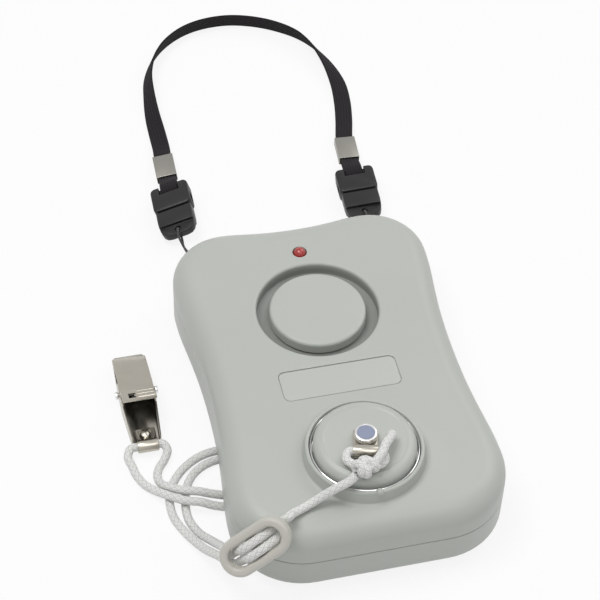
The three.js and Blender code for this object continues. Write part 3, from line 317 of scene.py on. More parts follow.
def meshPiece(name, vertices, faces, material=None, angle=35, scale=mm, fix=True):
    mesh = bpy.data.meshes.new(name)
    mesh.from_pydata([tuple(float(c) * scale for c in v) for v in vertices], [], faces)
    if fix:
        tidyMesh(mesh)
    smoothMesh(mesh, angle)
    if material:
        mesh.materials.append(material)
    return link(name, mesh)


def tidyMesh(mesh):
    work = bmesh.new()
    work.from_mesh(mesh)
    bmesh.ops.remove_doubles(work, verts=work.verts, dist=1e-6)
    bmesh.ops.recalc_face_normals(work, faces=work.faces)
    work.to_mesh(mesh)
    work.free()


def smoothMesh(mesh, angle):
    mesh.shade_smooth()
    mesh.set_sharp_from_angle(angle=math.radians(angle))


def applied(piece, name=None):
    # a plain mesh of what the piece's modifiers make
    graph = bpy.context.evaluated_depsgraph_get()
    graph.update()
    mesh = bpy.data.meshes.new_from_object(piece.evaluated_get(graph))
    result = link(name or piece.name + "Plain", mesh)
    bpy.data.objects.remove(piece)
    if name:
        result.name = name
    return result


def combine(piece, operation, *tools):
    for tool in tools:
        step = piece.modifiers.new("combine", "BOOLEAN")
        step.operation, step.solver, step.object = operation, "EXACT", tool
        step.use_hole_tolerant = False
    name = piece.name
    result = applied(piece, name)
    for tool in tools:
        bpy.data.objects.remove(tool)
    return result


def bevelled(piece, width, angle=30, segments=3):
    step = piece.modifiers.new("edge", "BEVEL")
    step.width, step.segments, step.limit_method = width * mm, segments, "ANGLE"
    step.angle_limit, step.harden_normals = math.radians(angle), False
    name = piece.name
    result = applied(piece, name)
    smoothMesh(result.data, 32)
    return result


def ringFaces(rings, count, closed=True):
    faces = []
    for ring in range(rings - 1):
        for i in range(count if closed else count - 1):
            a, b = ring * count + i, ring * count + (i + 1) % count
            faces.append((a, b, b + count, a + count))
    return faces


def turned(name, profile, x=0.0, y=0.0, sides=96, material=None, angle=35):
    # profile of (radius, height); a radius of 0 closes on the axis
    vertices, faces, rows = [], [], []
    for radius, height in profile:
        if radius < 1e-6:
            rows.append([len(vertices)])
            vertices.append((x, y, height))
        else:
            rows.append(list(range(len(vertices), len(vertices) + sides)))
            vertices += [(x + radius * math.cos(2 * math.pi * i / sides),
                          y + radius * math.sin(2 * math.pi * i / sides), height) for i in range(sides)]
    for low, high in zip(rows, rows[1:]):
        for i in range(sides):
            j = (i + 1) % sides
            if len(low) == 1 and len(high) > 1:
                faces.append((low[0], high[j], high[i]))
            elif len(high) == 1 and len(low) > 1:
                faces.append((low[i], low[j], high[0]))
            elif len(low) > 1:
                faces.append((low[i], low[j], high[j], high[i]))
    return meshPiece(name, vertices, faces, material, angle)


def prism(name, outline, bottom, top, material=None):
    count = len(outline)
    vertices = [(x, y, bottom) for x, y in outline] + [(x, y, top) for x, y in outline]
    faces = ringFaces(2, count) + [tuple(reversed(range(count))), tuple(range(count, 2 * count))]
    return meshPiece(name, vertices, faces, material)


def box(name, width, length, height, x=0.0, y=0.0, z=0.0):
    halfX, halfY = width / 2, length / 2
    return prism(name, [(x - halfX, y - halfY), (x + halfX, y - halfY), (x + halfX, y + halfY),
                        (x - halfX, y + halfY)], z, z + height)


def circle(radius, x=0.0, y=0.0, sides=32, start=0.0, sweep=2 * math.pi, ends=False):
    count = sides + (1 if ends else 0)
    return [(x + radius * math.cos(start + sweep * i / sides),
             y + radius * math.sin(start + sweep * i / sides))
            for i in range(count)]


def roundRectangle(width, length, radius, x=0.0, y=0.0, steps=6):
    points = []
    for corner, (sx, sy) in enumerate([(1, 1), (-1, 1), (-1, -1), (1, -1)]):
        points += circle(radius, x + sx * (width / 2 - radius), y + sy * (length / 2 - radius), steps,
                         corner * math.pi / 2, math.pi / 2, True)
    return points


def loft(name, rings, material=None, angle=35, capEnds=True):
    # rings of equal count, each a list of points
    count = len(rings[0])
    vertices = [p for ring in rings for p in ring]
    faces = ringFaces(len(rings), count)
    if capEnds:
        last = (len(rings) - 1) * count
        faces += [tuple(reversed(range(count))), tuple(range(last, last + count))]
    return meshPiece(name, vertices, faces, material, angle)


def smoothLine(points, perSpan=None, count=None):
    # centripetal line through the points, the same curve as the route of the solids
    pts = [np.array(p, float) for p in points]
    total = len(pts) - 1
    steps = count or total * perSpan
    line = []
    for s in range(steps + 1):
        spot = total * s / steps
        index = min(int(spot), total - 1)
        weight = spot - index
        p1, p2 = pts[index], pts[index + 1]
        p0 = pts[index - 1] if index > 0 else 2 * pts[0] - pts[1]
        p3 = pts[index + 2] if index + 2 <= total else 2 * pts[-1] - pts[-2]
        spans = ((p0, p1), (p1, p2), (p2, p3))
        dt0, dt1, dt2 = [max(float(np.dot(b - a, b - a)) ** 0.25, 1e-4) for a, b in spans]
        t1 = ((p1 - p0) / dt0 - (p2 - p0) / (dt0 + dt1) + (p2 - p1) / dt1) * dt1
        t2 = ((p2 - p1) / dt1 - (p3 - p1) / (dt1 + dt2) + (p3 - p2) / dt2) * dt1
        c2, c3 = -3 * p1 + 3 * p2 - 2 * t1 - t2, 2 * p1 - 2 * p2 + t1 + t2
        line.append(p1 + t1 * weight + c2 * weight ** 2 + c3 * weight ** 3)
    return line


def evenly(line, step):
    line = np.array(line)
    runs = np.r_[0, np.cumsum(np.linalg.norm(np.diff(line, axis=0), axis=1))]
    count = max(4, int(round(runs[-1] / step)))
    marks = np.linspace(0, runs[-1], count + 1)
    return np.stack([np.interp(marks, runs, line[:, k]) for k in range(3)], 1), float(runs[-1])


def tubePiece(name, line, radius, material, sides=20, relief=0.0, strands=10, pitch=0.8):
    # a round cord along an even line, with a UV map: u round it, v in turns along it
    line = np.array(line)
    tangents = np.gradient(line, axis=0)
    tangents /= np.linalg.norm(tangents, axis=1)[:, None]
    side = np.cross(tangents[0], (0, 0, 1.0))
    side = side / np.linalg.norm(side) if np.linalg.norm(side) > 1e-3 else np.array((1.0, 0, 0))
    vertices, travel = [], 0.0
    girth = 2 * math.pi * radius
    marks = []
    for i, (centre, tangent) in enumerate(zip(line, tangents)):
        if i:
            travel += float(np.linalg.norm(line[i] - line[i - 1]))
        side = side - tangent * float(np.dot(side, tangent))
        side /= np.linalg.norm(side)
        up = np.cross(tangent, side)
        marks.append(travel / girth)
        for k in range(sides):
            turn = k / sides
            size = radius
            if relief:
                a = strands * (turn + pitch * travel / girth)
                b = strands * (turn - pitch * travel / girth)
                size = radius - relief + relief * max(abs(math.sin(math.pi * a)),
                                                      abs(math.sin(math.pi * b)))
            vertices.append(centre + size * (math.cos(2 * math.pi * turn) * side
                                             + math.sin(2 * math.pi * turn) * up))
    count = len(line)
    faces = ringFaces(count, sides)
    for end, sign in ((0, -1), (count - 1, 1)):
        vertices.append(line[end] + tangents[end] * sign * radius * 0.35)
        tip = len(vertices) - 1
        for k in range(sides):
            a, b = end * sides + k, end * sides + (k + 1) % sides
            faces.append((b, a, tip) if sign < 0 else (a, b, tip))
    mesh = bpy.data.meshes.new(name)
    mesh.from_pydata([tuple(v * mm) for v in vertices], [], faces)
    layer = mesh.uv_layers.new(name="run")
    for face in mesh.polygons:
        loops = list(face.loop_indices)
        ids = [mesh.loops[i].vertex_index for i in loops]
        turns = [(v % sides) / sides if v < count * sides else 0.0 for v in ids]
        wraps = max(turns) - min(turns) > 0.5
        for loop, vertex, turn in zip(loops, ids, turns):
            row = min(vertex // sides, count - 1)
            layer.data[loop].uv = (turn + (1.0 if wraps and turn < 0.5 else 0.0), marks[row])
    work = bmesh.new()
    work.from_mesh(mesh)
    bmesh.ops.recalc_face_normals(work, faces=work.faces)
    work.to_mesh(mesh)
    work.free()
    smoothMesh(mesh, 60)
    mesh.materials.append(material)
    return link(name, mesh)


def dressed(node, material, edge=0.0, angle=30, name=None, segments=3, crease=32):
    # a merged, cleaned copy of a solid with rounded edges that stands for it
    source = nodes[node]
    work = bmesh.new()
    work.from_mesh(source.data)
    bmesh.ops.remove_doubles(work, verts=work.verts, dist=2e-6)
    bmesh.ops.dissolve_limit(work, angle_limit=math.radians(1.5), verts=work.verts, edges=work.edges)
    mesh = bpy.data.meshes.new(name or node + "Skin")
    work.to_mesh(mesh)
    work.free()
    mesh.materials.clear()
    mesh.materials.append(material)
    smoothMesh(mesh, crease)
    piece = link(name or node + "Skin", mesh)
    if edge:
        piece = bevelled(piece, edge, angle, segments)
        piece.name = name or node + "Skin"
    return piece


def stands(piece, body, slot, *names):
    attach(piece, body)
    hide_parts(*names)
    return piece


def onBody(piece, body):
    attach(piece, body)
    return piece


# Geometry node trees
def newTree(name, inputs):
    tree = bpy.data.node_groups.new(name, "GeometryNodeTree")
    tree.interface.new_socket("Geometry", in_out="OUTPUT", socket_type="NodeSocketGeometry")
    for label, kind, value in inputs:
        socket = tree.interface.new_socket(label, in_out="INPUT", socket_type=kind)
        if value is not None:
            socket.default_value = value
    return tree, tree.nodes.new("NodeGroupInput"), tree.nodes.new("NodeGroupOutput")


def fromTree(name, tree, values, material):
    mesh = bpy.data.meshes.new(name)
    piece = link(name, mesh)
    step = piece.modifiers.new("make", "NODES")
    step.node_group = tree
    for item in tree.interface.items_tree:
        if item.in_out == "INPUT" and item.name in values:
            step[item.identifier] = values[item.name]
    result = applied(piece, name)
    if not result.data.materials:
        result.data.materials.append(material)
    return result


def ringOfTree(material):
    # Bars set round a circle: plain boxes, each turned to face outwards
    tree, given, result = newTree("ringOfBars", [
        ("Count", "NodeSocketInt", 6), ("Radius", "NodeSocketFloat", 0.02),
        ("Width", "NodeSocketFloat", 0.002), ("Length", "NodeSocketFloat", 0.01),
        ("Height", "NodeSocketFloat", 0.002), ("Centre", "NodeSocketVector", None)])
    new, join = tree.nodes.new, tree.links.new
    path = new("GeometryNodeMeshCircle")
    size = new("ShaderNodeCombineXYZ")
    bar = new("GeometryNodeMeshCube")
    spots = new("GeometryNodeMeshToPoints")
    index = new("GeometryNodeInputIndex")
    turnStep = new("ShaderNodeMath")
    turnStep.operation = "DIVIDE"
    turnStep.inputs[0].default_value = 2 * math.pi
    turn = new("ShaderNodeMath")
    turn.operation = "MULTIPLY"
    facing = new("ShaderNodeCombineXYZ")
    place = new("GeometryNodeInstanceOnPoints")
    shift = new("GeometryNodeTransform")
    real = new("GeometryNodeRealizeInstances")
    paint = new("GeometryNodeSetMaterial")
    paint.inputs["Material"].default_value = material
    join(given.outputs["Count"], path.inputs["Vertices"])
    join(given.outputs["Radius"], path.inputs["Radius"])
    join(given.outputs["Width"], size.inputs[0])
    join(given.outputs["Length"], size.inputs[1])
    join(given.outputs["Height"], size.inputs[2])
    join(size.outputs[0], bar.inputs["Size"])
    join(path.outputs[0], spots.inputs[0])
    join(given.outputs["Count"], turnStep.inputs[1])
    join(index.outputs[0], turn.inputs[0])
    join(turnStep.outputs[0], turn.inputs[1])
    join(turn.outputs[0], facing.inputs[2])
    join(spots.outputs[0], place.inputs["Points"])
    join(bar.outputs["Mesh"], place.inputs["Instance"])
    join(facing.outputs[0], place.inputs["Rotation"])
    join(place.outputs[0], real.inputs[0])
    join(real.outputs[0], shift.inputs[0])
    join(given.outputs["Centre"], shift.inputs["Translation"])
    join(shift.outputs[0], paint.inputs[0])
    join(paint.outputs[0], result.inputs[0])
    return tree


def rowOfTree(material):
    # Round ribs laid side by side along a row
    tree, given, result = newTree("rowOfRibs", [
        ("Count", "NodeSocketInt", 3), ("Step", "NodeSocketVector", None),
        ("Start", "NodeSocketVector", None), ("Radius", "NodeSocketFloat", 0.0005),
        ("Length", "NodeSocketFloat", 0.01), ("Turn", "NodeSocketVector", None)])
    new, join = tree.nodes.new, tree.links.new
    row = new("GeometryNodeMeshLine")
    row.mode = "OFFSET"
    rib = new("GeometryNodeMeshCylinder")
    rib.inputs["Vertices"].default_value = 14
    spots = new("GeometryNodeMeshToPoints")
    place = new("GeometryNodeInstanceOnPoints")
    real = new("GeometryNodeRealizeInstances")
    paint = new("GeometryNodeSetMaterial")
    paint.inputs["Material"].default_value = material
    join(given.outputs["Count"], row.inputs["Count"])
    join(given.outputs["Start"], row.inputs["Start Location"])
    join(given.outputs["Step"], row.inputs["Offset"])
    join(given.outputs["Radius"], rib.inputs["Radius"])
    join(given.outputs["Length"], rib.inputs["Depth"])
    join(row.outputs[0], spots.inputs[0])
    join(spots.outputs[0], place.inputs["Points"])
    join(rib.outputs["Mesh"], place.inputs["Instance"])
    join(given.outputs["Turn"], place.inputs["Rotation"])
    join(place.outputs[0], real.inputs[0])
    join(real.outputs[0], paint.inputs[0])
    join(paint.outputs[0], result.inputs[0])
    return tree


# Case shells
case = {
    "width": 95, "length": 144, "strapCorner": 20.6, "endCorner": 24.7, "sideWaist": 3.3,
    "topWaist": 2.1, "bottom": 4.2, "parting": 16.8, "top": 30.2, "shoulder": 8, "baseRound": 2,
    "wall": 2.2, "gap": 0.3,
}


def bezier(a, b, c, d, steps):
    return [tuple((1 - t) ** 3 * a[k] + 3 * t * (1 - t) ** 2 * b[k] + 3 * t * t * (1 - t) * c[k]
                  + t ** 3 * d[k]
                  for k in range(2)) for t in (i / steps for i in range(steps))]


def caseOutline(inset, straight=14, corner=14):
    halfX, halfY = case["width"] / 2 - inset, case["length"] / 2 - inset
    top, end = case["strapCorner"] - inset, case["endCorner"] - inset
    low, high = -halfY + end, halfY - top
    middle, ease = (low + high) / 2, (high - low) / 2
    waistX, waistY = halfX - case["sideWaist"], halfY - case["topWaist"]
    run = halfX - top

    def quarter(radius, x, y, start):
        return circle(radius, x, y, corner, math.radians(start), math.pi / 2)

    points = bezier((halfX, low), (halfX, low + 0.3 * ease), (waistX, middle - 0.55 * ease),
                    (waistX, middle), straight)
    points += bezier((waistX, middle), (waistX, middle + 0.55 * ease), (halfX, high - 0.3 * ease),
                     (halfX, high), straight)
    points += quarter(top, halfX - top, high, 0)
    points += bezier((run, halfY), (0.7 * run, halfY), (0.55 * run, waistY), (0, waistY), straight)
    points += bezier((0, waistY), (-0.55 * run, waistY), (-0.7 * run, halfY), (-run, halfY), straight)
    points += quarter(top, -run, high, 90)
    points += bezier((-halfX, high), (-halfX, high - 0.3 * ease), (-waistX, middle + 0.55 * ease),
                     (-waistX, middle), straight)
    points += bezier((-waistX, middle), (-waistX, middle - 0.55 * ease), (-halfX, low + 0.3 * ease),
                     (-halfX, low), straight)
    points += quarter(end, -halfX + end, low, 180)
    points += bezier((-halfX + end, -halfY), (-10, -halfY), (10, -halfY), (halfX - end, -halfY),
                     straight)
    points += quarter(end, halfX - end, low, 270)
    return points


def caseLoft(name, steps, material):
    return loft(name, [[(x, y, z) for x, y in caseOutline(inset)] for inset, z in steps], material)


face = {
    "sirenY": 25.4, "wellRadius": 21.9, "wellDepth": 5, "wellFloor": 1.6, "wellRound": 1.1,
    "slotCount": 6, "slotWidth": 5, "slotLength": 7.2, "slotRadius": 10.5, "lampY": 53.8,
    "lampHole": 2.7, "labelWidth": 42, "labelLength": 13.3, "labelCorner": 2.5, "labelY": -7.7,
    "labelDepth": 0.5, "capY": -41.6, "collarRadius": 20.2, "collarFlare": 0.7, "collarHeight": 5,
    "collarWall": 1.4, "skirtRadius": 21, "skirtWall": 0.9,
    "skirtDeep": 9.6, "nub": 1.3,
}


def makeTopShell():
    top, shoulder, wall = case["top"], case["shoulder"], case["wall"]
    seam = case["parting"] + case["gap"] / 2
    inner = shoulder - wall
    steps = [(wall + inner, top - wall)]
    steps += [(wall + inner - inner * math.sin(a), top - wall - inner + inner * math.cos(a))
              for a in (math.radians(d) for d in (30, 60, 90))]
    steps += [(wall, seam + 2.2), (0.9, seam + 2.2), (0.9, seam), (0.12, seam), (0, seam + 0.12)]
    steps += [(shoulder - shoulder * math.cos(a), top - shoulder + shoulder * math.sin(a))
              for a in (math.radians(90 * i / 14) for i in range(15))]
    shell = caseLoft("topShellSkin", steps, casePlastic)
    y, floorZ = face["sirenY"], top - face["wellDepth"]
    cup = prism("cup", circle(face["wellRadius"] + 2.2, 0, y, 96), floorZ - face["wellFloor"], top - 0.6)
    inside, outside = face["skirtRadius"], face["skirtRadius"] + face["skirtWall"]
    low = floorZ - face["skirtDeep"]
    skirt = turned("skirt", [(inside, low), (outside, low), (outside, floorZ - 1),
                             (inside, floorZ - 1), (inside, low)], 0, y, 96)
    radius, flare, tall = face["collarRadius"], face["collarFlare"], face["collarHeight"]
    innerR = radius - face["collarWall"]
    collar = turned("collar", [
        (innerR, top - 0.8), (radius + flare + 1, top - 0.8), (radius + flare + 1, top - 0.02),
        (radius + flare + 0.5, top + 0.1), (radius + flare, top + 0.5), (radius + 0.35, top + 1.4),
        (radius, top + tall - 0.7), (radius - 0.12, top + tall - 0.3), (radius - 0.42, top + tall),
        (innerR + 0.42, top + tall), (innerR + 0.12, top + tall - 0.12), (innerR, top + tall - 0.4),
        (innerR, top - 0.8),
    ], 0, face["capY"], 128)
    nubSize = face["nub"]
    nub = turned("nub", [(nubSize * math.sin(a), top + tall - 0.3 - nubSize * math.cos(a))
                         for a in (math.pi * i / 12 for i in range(13))],
                 0, face["capY"] - radius + 0.6, 24)
    shell = combine(shell, "UNION", cup, skirt, collar, nub)
    lip = face["wellRound"]
    rim = [(face["wellRadius"] + lip - lip * math.cos(a), top - lip + lip * math.sin(a))
           for a in (math.radians(90 * i / 6) for i in range(7))]
    bore = turned("bore", [(0, floorZ), (face["wellRadius"] - 0.6, floorZ),
                           (face["wellRadius"] - 0.15, floorZ + 0.15),
                           (face["wellRadius"], floorZ + 0.6)] + rim
                  + [(face["wellRadius"] + lip, top + 2), (0, top + 2)], 0, y, 128)
    slots = fromTree("slots", ringOfTree(casePlastic), {
        "Count": face["slotCount"], "Radius": face["slotRadius"] * mm,
        "Width": face["slotWidth"] * mm, "Length": face["slotLength"] * mm, "Height": 4 * mm,
        "Centre": (0, y * mm, (floorZ - 0.9) * mm)}, casePlastic)
    peg = prism("peg", circle(2.5, 0, y, 32), floorZ - 3, floorZ + 1)
    lampHole = prism("lampHole", circle(face["lampHole"], 0, face["lampY"], 48), top - 4, top + 1)
    label = prism("label", roundRectangle(face["labelWidth"], face["labelLength"], face["labelCorner"],
                                          0, face["labelY"], 8),
                  top - face["labelDepth"], top + 1)
    shell = combine(shell, "DIFFERENCE", bore, lampHole, label)
    shell = combine(shell, "DIFFERENCE", slots, peg)
    # painted shade: the well's floor and inner wall take the second material, which has the shade
    # painted in
    shell.data.materials.append(wellPaintedShadePlastic)
    for spot in shell.data.polygons:
        middle = spot.center / mm
        reach = math.hypot(middle.x, middle.y - y)
        if floorZ - 0.1 < middle.z < top - lip and reach < face["wellRadius"] + 0.05:
            spot.material_index = 1
    smoothMesh(shell.data, 28)
    return shell


back = {"bayY": -42, "bayLength": 58, "bayWidth": 31, "bayWall": 1.6, "bayTop": 16.2, "floor": 6.2,
        "footX": 36, "footY": 44, "footHole": 5.3, "footDeep": 0.8,
        "loopHoles": (-35.6, -32.6, 32.6, 35.6), "loopZ": 11}


def screwSpots():
    spots = []
    for sx, sy in ((1, 1), (-1, 1), (-1, -1), (1, -1)):
        corner = case["strapCorner"] if sy > 0 else case["endCorner"]
        inset = corner - (corner - 14.6 + 3.2) * math.sqrt(0.5)
        spots.append((sx * (case["width"] / 2 - inset), sy * (case["length"] / 2 - inset)))
    return spots


def makeBottomShell():
    bottom, rounded, wall = case["bottom"], case["baseRound"], case["wall"]
    seam = case["parting"] - case["gap"] / 2
    steps = [(rounded - rounded * math.sin(a), bottom + rounded - rounded * math.cos(a))
             for a in (math.radians(90 * i / 5) for i in range(6))]
    steps += [(0, seam - 0.12), (0.12, seam), (1.2, seam), (1.2, seam + 1.7), (wall, seam + 1.7),
              (wall, back["floor"])]
    shell = caseLoft("bottomShellSkin", steps, casePlastic)
    bayWalls = box("bayWalls", back["bayLength"] + 2 * back["bayWall"],
                   back["bayWidth"] + 2 * back["bayWall"], back["bayTop"] - back["floor"] + 0.6, 0,
                   back["bayY"], back["floor"] - 0.6)
    shell = combine(shell, "UNION", bayWalls)
    tools = [box("bay", back["bayLength"], back["bayWidth"], 14, 0, back["bayY"], bottom - 1)]
    for side in (-1, 1):
        tools.append(box("hook", 6.6, 3, 2.6, side * back["bayLength"] / 4,
                         back["bayY"] + back["bayWidth"] / 2 + 1, back["floor"]))
    shell = combine(shell, "DIFFERENCE", *tools)
    tools = [prism("pocket", circle(back["footHole"], sx * back["footX"], sy * back["footY"], 40),
                   bottom - 1, bottom + back["footDeep"])
             for sx in (-1, 1) for sy in (-1, 1)]
    tools += [prism("seat", circle(3, x, y, 32), bottom - 1, bottom + 4) for x, y in screwSpots()]
    for x in back["loopHoles"]:
        hole = turned("loopHole", [(0, -8), (0.75, -8), (0.75, 8), (0, 8)], 0, 0, 16)
        spot = Vector((x, case["length"] / 2 - 2, back["loopZ"])) * mm
        hole.data.transform(Matrix.Translation(spot) @ Matrix.Rotation(math.pi / 2, 4, "X"))
        tools.append(hole)
    shell = combine(shell, "DIFFERENCE", *tools)
    smoothMesh(shell.data, 28)
    return shell


stands(makeTopShell(), "case", "case_plastic", "top_shell")
stands(makeBottomShell(), "case", "case_plastic", "bottom_shell")
print("case shells made")


# Siren cover, lamp, label
cover = {"radius": 17.35, "edge": 1.2, "wall": 1.6, "gap": 0.8, "peg": 2.2, "pegDeep": 1}


def makeCover():
    top = case["top"]
    floorZ = top - face["wellDepth"]
    base = floorZ + cover["gap"]
    edge = [(cover["radius"] - cover["edge"] + cover["edge"] * math.cos(a),
             top - cover["edge"] + cover["edge"] * math.sin(a))
            for a in (math.radians(90 * i / 7) for i in range(8))]
    crown = [(r, top + 0.12 * (1 - (r / 16.2) ** 2)) for r in (12, 8, 4)]
    profile = [(0, floorZ - cover["pegDeep"]), (cover["peg"], floorZ - cover["pegDeep"]),
               (cover["peg"], top - 2), (cover["radius"] - cover["wall"], top - 2),
               (cover["radius"] - cover["wall"], base),
               (cover["radius"], base)] + edge + crown + [(0, top + 0.12)]
    return turned("sirenCoverSkin", profile, 0, face["sirenY"], 128, coverPlastic)


def makeLamp():
    foot, top = 24.3, case["top"]
    base = top - 0.9
    dome = [(2.4 * math.cos(a), base + 2.4 * math.sin(a)) for a in (math.radians(90 * i / 10)
        for i in range(10))]
    return turned("lampSkin", [(0, foot), (2.9, foot), (2.9, foot + 1), (2.4, foot + 1)] + dome
                  + [(0, base + 2.4)], 0, face["lampY"], 48, lampRed)


stands(makeCover(), "case", "case_plastic", "siren_cover")
stands(makeLamp(), "case", "lamp_lens", "warning_lamp")
stands(dressed("label_plate", labelFilm, 0.1, 40), "case", "label_film", "label_plate")
print("face fittings made")


# Magnet cap
cap = {"y": -41.6, "radius": 17.5, "bottom": 31.3, "top": 38.4, "dish": 0.3}


def makeCap():
    r, top = cap["radius"], cap["top"]
    bend = [(r - 3.1 + 3.1 * math.cos(a), top - 3.3 + 3.15 * math.sin(a))
            for a in (math.radians(80 * i / 9) for i in range(10))]
    profile = [(0, 36.1), (1.9, 36.1), (1.9, top - cap["dish"]), (r - 3.9, top - cap["dish"]),
               (r - 3.5, top - 0.2), (r - 3.1, top)]
    profile += list(reversed(bend))
    profile += [(r, cap["bottom"] + 0.4), (r - 0.35, cap["bottom"]), (12.3, cap["bottom"]),
                (12.3, 35.6), (0, 35.6)]
    return turned("magnetCapSkin", profile, 0, cap["y"], 128, coverPlastic, 30)


keeper = {"radius": 18.5, "wall": 0.6, "tall": 4.4, "rim": 4.3, "shoulder": 4.1, "floor": 0.8}


def makeKeeper():
    r, z, wall = keeper["radius"], case["top"], keeper["wall"]
    shoulder, rim = z + keeper["shoulder"], z + keeper["rim"]
    profile = [(0, z), (r, z), (r, shoulder), (r - 0.08, rim), (r - 0.3, z + keeper["tall"]),
               (r - 0.52, rim), (r - wall, shoulder), (r - wall, z + keeper["floor"]),
               (0, z + keeper["floor"])]
    return turned("keeperSkin", profile, 0, cap["y"], 128, keeperChrome)


stud = {"head": 3.8, "rise": 2.2, "shank": 1.6}


def makeStud():
    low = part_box("cap_stud")[1].z / mm - stud["rise"]
    high = low + stud["rise"]
    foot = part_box("cap_stud")[0].z / mm
    r = stud["head"]
    rim = turned("studSkin", [(0, foot), (stud["shank"], foot), (stud["shank"], low), (r - 0.35, low),
                              (r, low + 0.35), (r, high - 0.5), (r - 0.12, high - 0.2),
                              (r - 0.45, high - 0.05), (r - 0.7, high - 0.05), (r - 0.8, high - 0.12),
                              (0, high - 0.12)], 0, cap["y"], 64, studRim)
    disc = turned("studFace", [(0, high - 0.11), (r - 0.82, high - 0.11), (r - 0.9, high - 0.02),
                               (0, high - 0.02)],
                  0, cap["y"], 64, studSteel)
    return rim, disc


stands(makeCap(), "cap", "case_plastic", "magnet_cap")
stands(makeKeeper(), "case", "bright_steel", "keeper_cup")
studBody, studDisc = makeStud()
stands(studBody, "cap", "stud_steel", "cap_stud")
onBody(studDisc, "cap")
stands(dressed("cord_clasp", nickel, 0.12, 40), "cap", "bright_steel", "cord_clasp")
stands(dressed("cap_magnet", magnetPlate, 0.2, 40), "cap", "magnet", "cap_magnet")
print("magnet cap made")


# Cord slider
slider = {
    "place": (-43.2, -69.2, 28.3), "along": (0.78, 0, 0.626), "face": (-0.4542, -0.6881, 0.5659),
    "length": 26.5, "width": 13.2, "thickness": 4.5, "rim": 3.0, "bar": 4.0, "edge": 1.15,
}
sliderAlong = Vector(slider["along"]).normalized()
sliderFace = Vector(slider["face"]).normalized()
sliderAcross = sliderFace.cross(sliderAlong).normalized()
sliderFace = sliderAlong.cross(sliderAcross).normalized()


def nearSlider(along, across, out):
    return tuple(Vector(slider["place"]) + sliderAlong * along + sliderAcross * across
                 + sliderFace * out)


def makeSlider():
    half, rim, edge = slider["thickness"] / 2, slider["rim"], slider["edge"]
    middleR = slider["width"] / 2 - rim / 2
    run = slider["length"] / 2 - slider["width"] / 2
    path = []
    for start, cx in ((-90, run), (90, -run)):
        path += [((cx + middleR * math.cos(math.radians(a)), middleR * math.sin(math.radians(a))),
                  (math.cos(math.radians(a)), math.sin(math.radians(a))))
                 for a in np.linspace(start, start + 180, 33)]
    section = []
    for sx, sz, start in ((1, 1, 0), (-1, 1, 90), (-1, -1, 180), (1, -1, 270)):
        section += [(sx * (rim / 2 - edge) + edge * math.cos(math.radians(a)),
                     sz * (half - edge) + edge * math.sin(math.radians(a)))
                    for a in np.linspace(start, start + 90, 6)]
    count = len(section)
    vertices = [(c[0] + n[0] * s, c[1] + n[1] * s, z) for c, n in path for s, z in section]
    faces = []
    for i in range(len(path)):
        for k in range(count):
            a, b = i * count + k, i * count + (k + 1) % count
            c, d = ((i + 1) % len(path)) * count + (k + 1) % count, ((i + 1) % len(path)) * count + k
            faces.append((a, b, c, d))
    ring = meshPiece("cordSliderSkin", vertices, faces, sliderPlastic)
    bar = box("bar", slider["bar"], slider["width"] - 2 * rim + 1.2, half - 0.25, 0, 0, -half)
    ring = combine(ring, "UNION", bar)
    turn = Matrix((sliderAlong, sliderAcross, sliderFace)).transposed().to_4x4()
    ring.data.transform(Matrix.Translation(Vector(slider["place"]) * mm) @ turn)
    smoothMesh(ring.data, 40)
    return ring


stands(makeSlider(), "slider", "slider_plastic", "cord_slider")
print("cord slider made")


# White cord
cord = {"radius": 1.5, "relief": 0.1, "strand": 1.75, "step": 0.36, "sides": 40}
eyeY, eyeZ = -2.2, 3.4
clipX = -67.3


def inSlider(across):
    return [nearSlider(along, across, out) for along, out in (
        (9.2, -3.9), (7.2, -2.1), (5, 0), (2.6, 1.5), (0, 1.9), (-2.6, 1.5), (-5, 0), (-7.2, -2.1),
        (-9.2, -3.9), (-11.6, -4.9))]


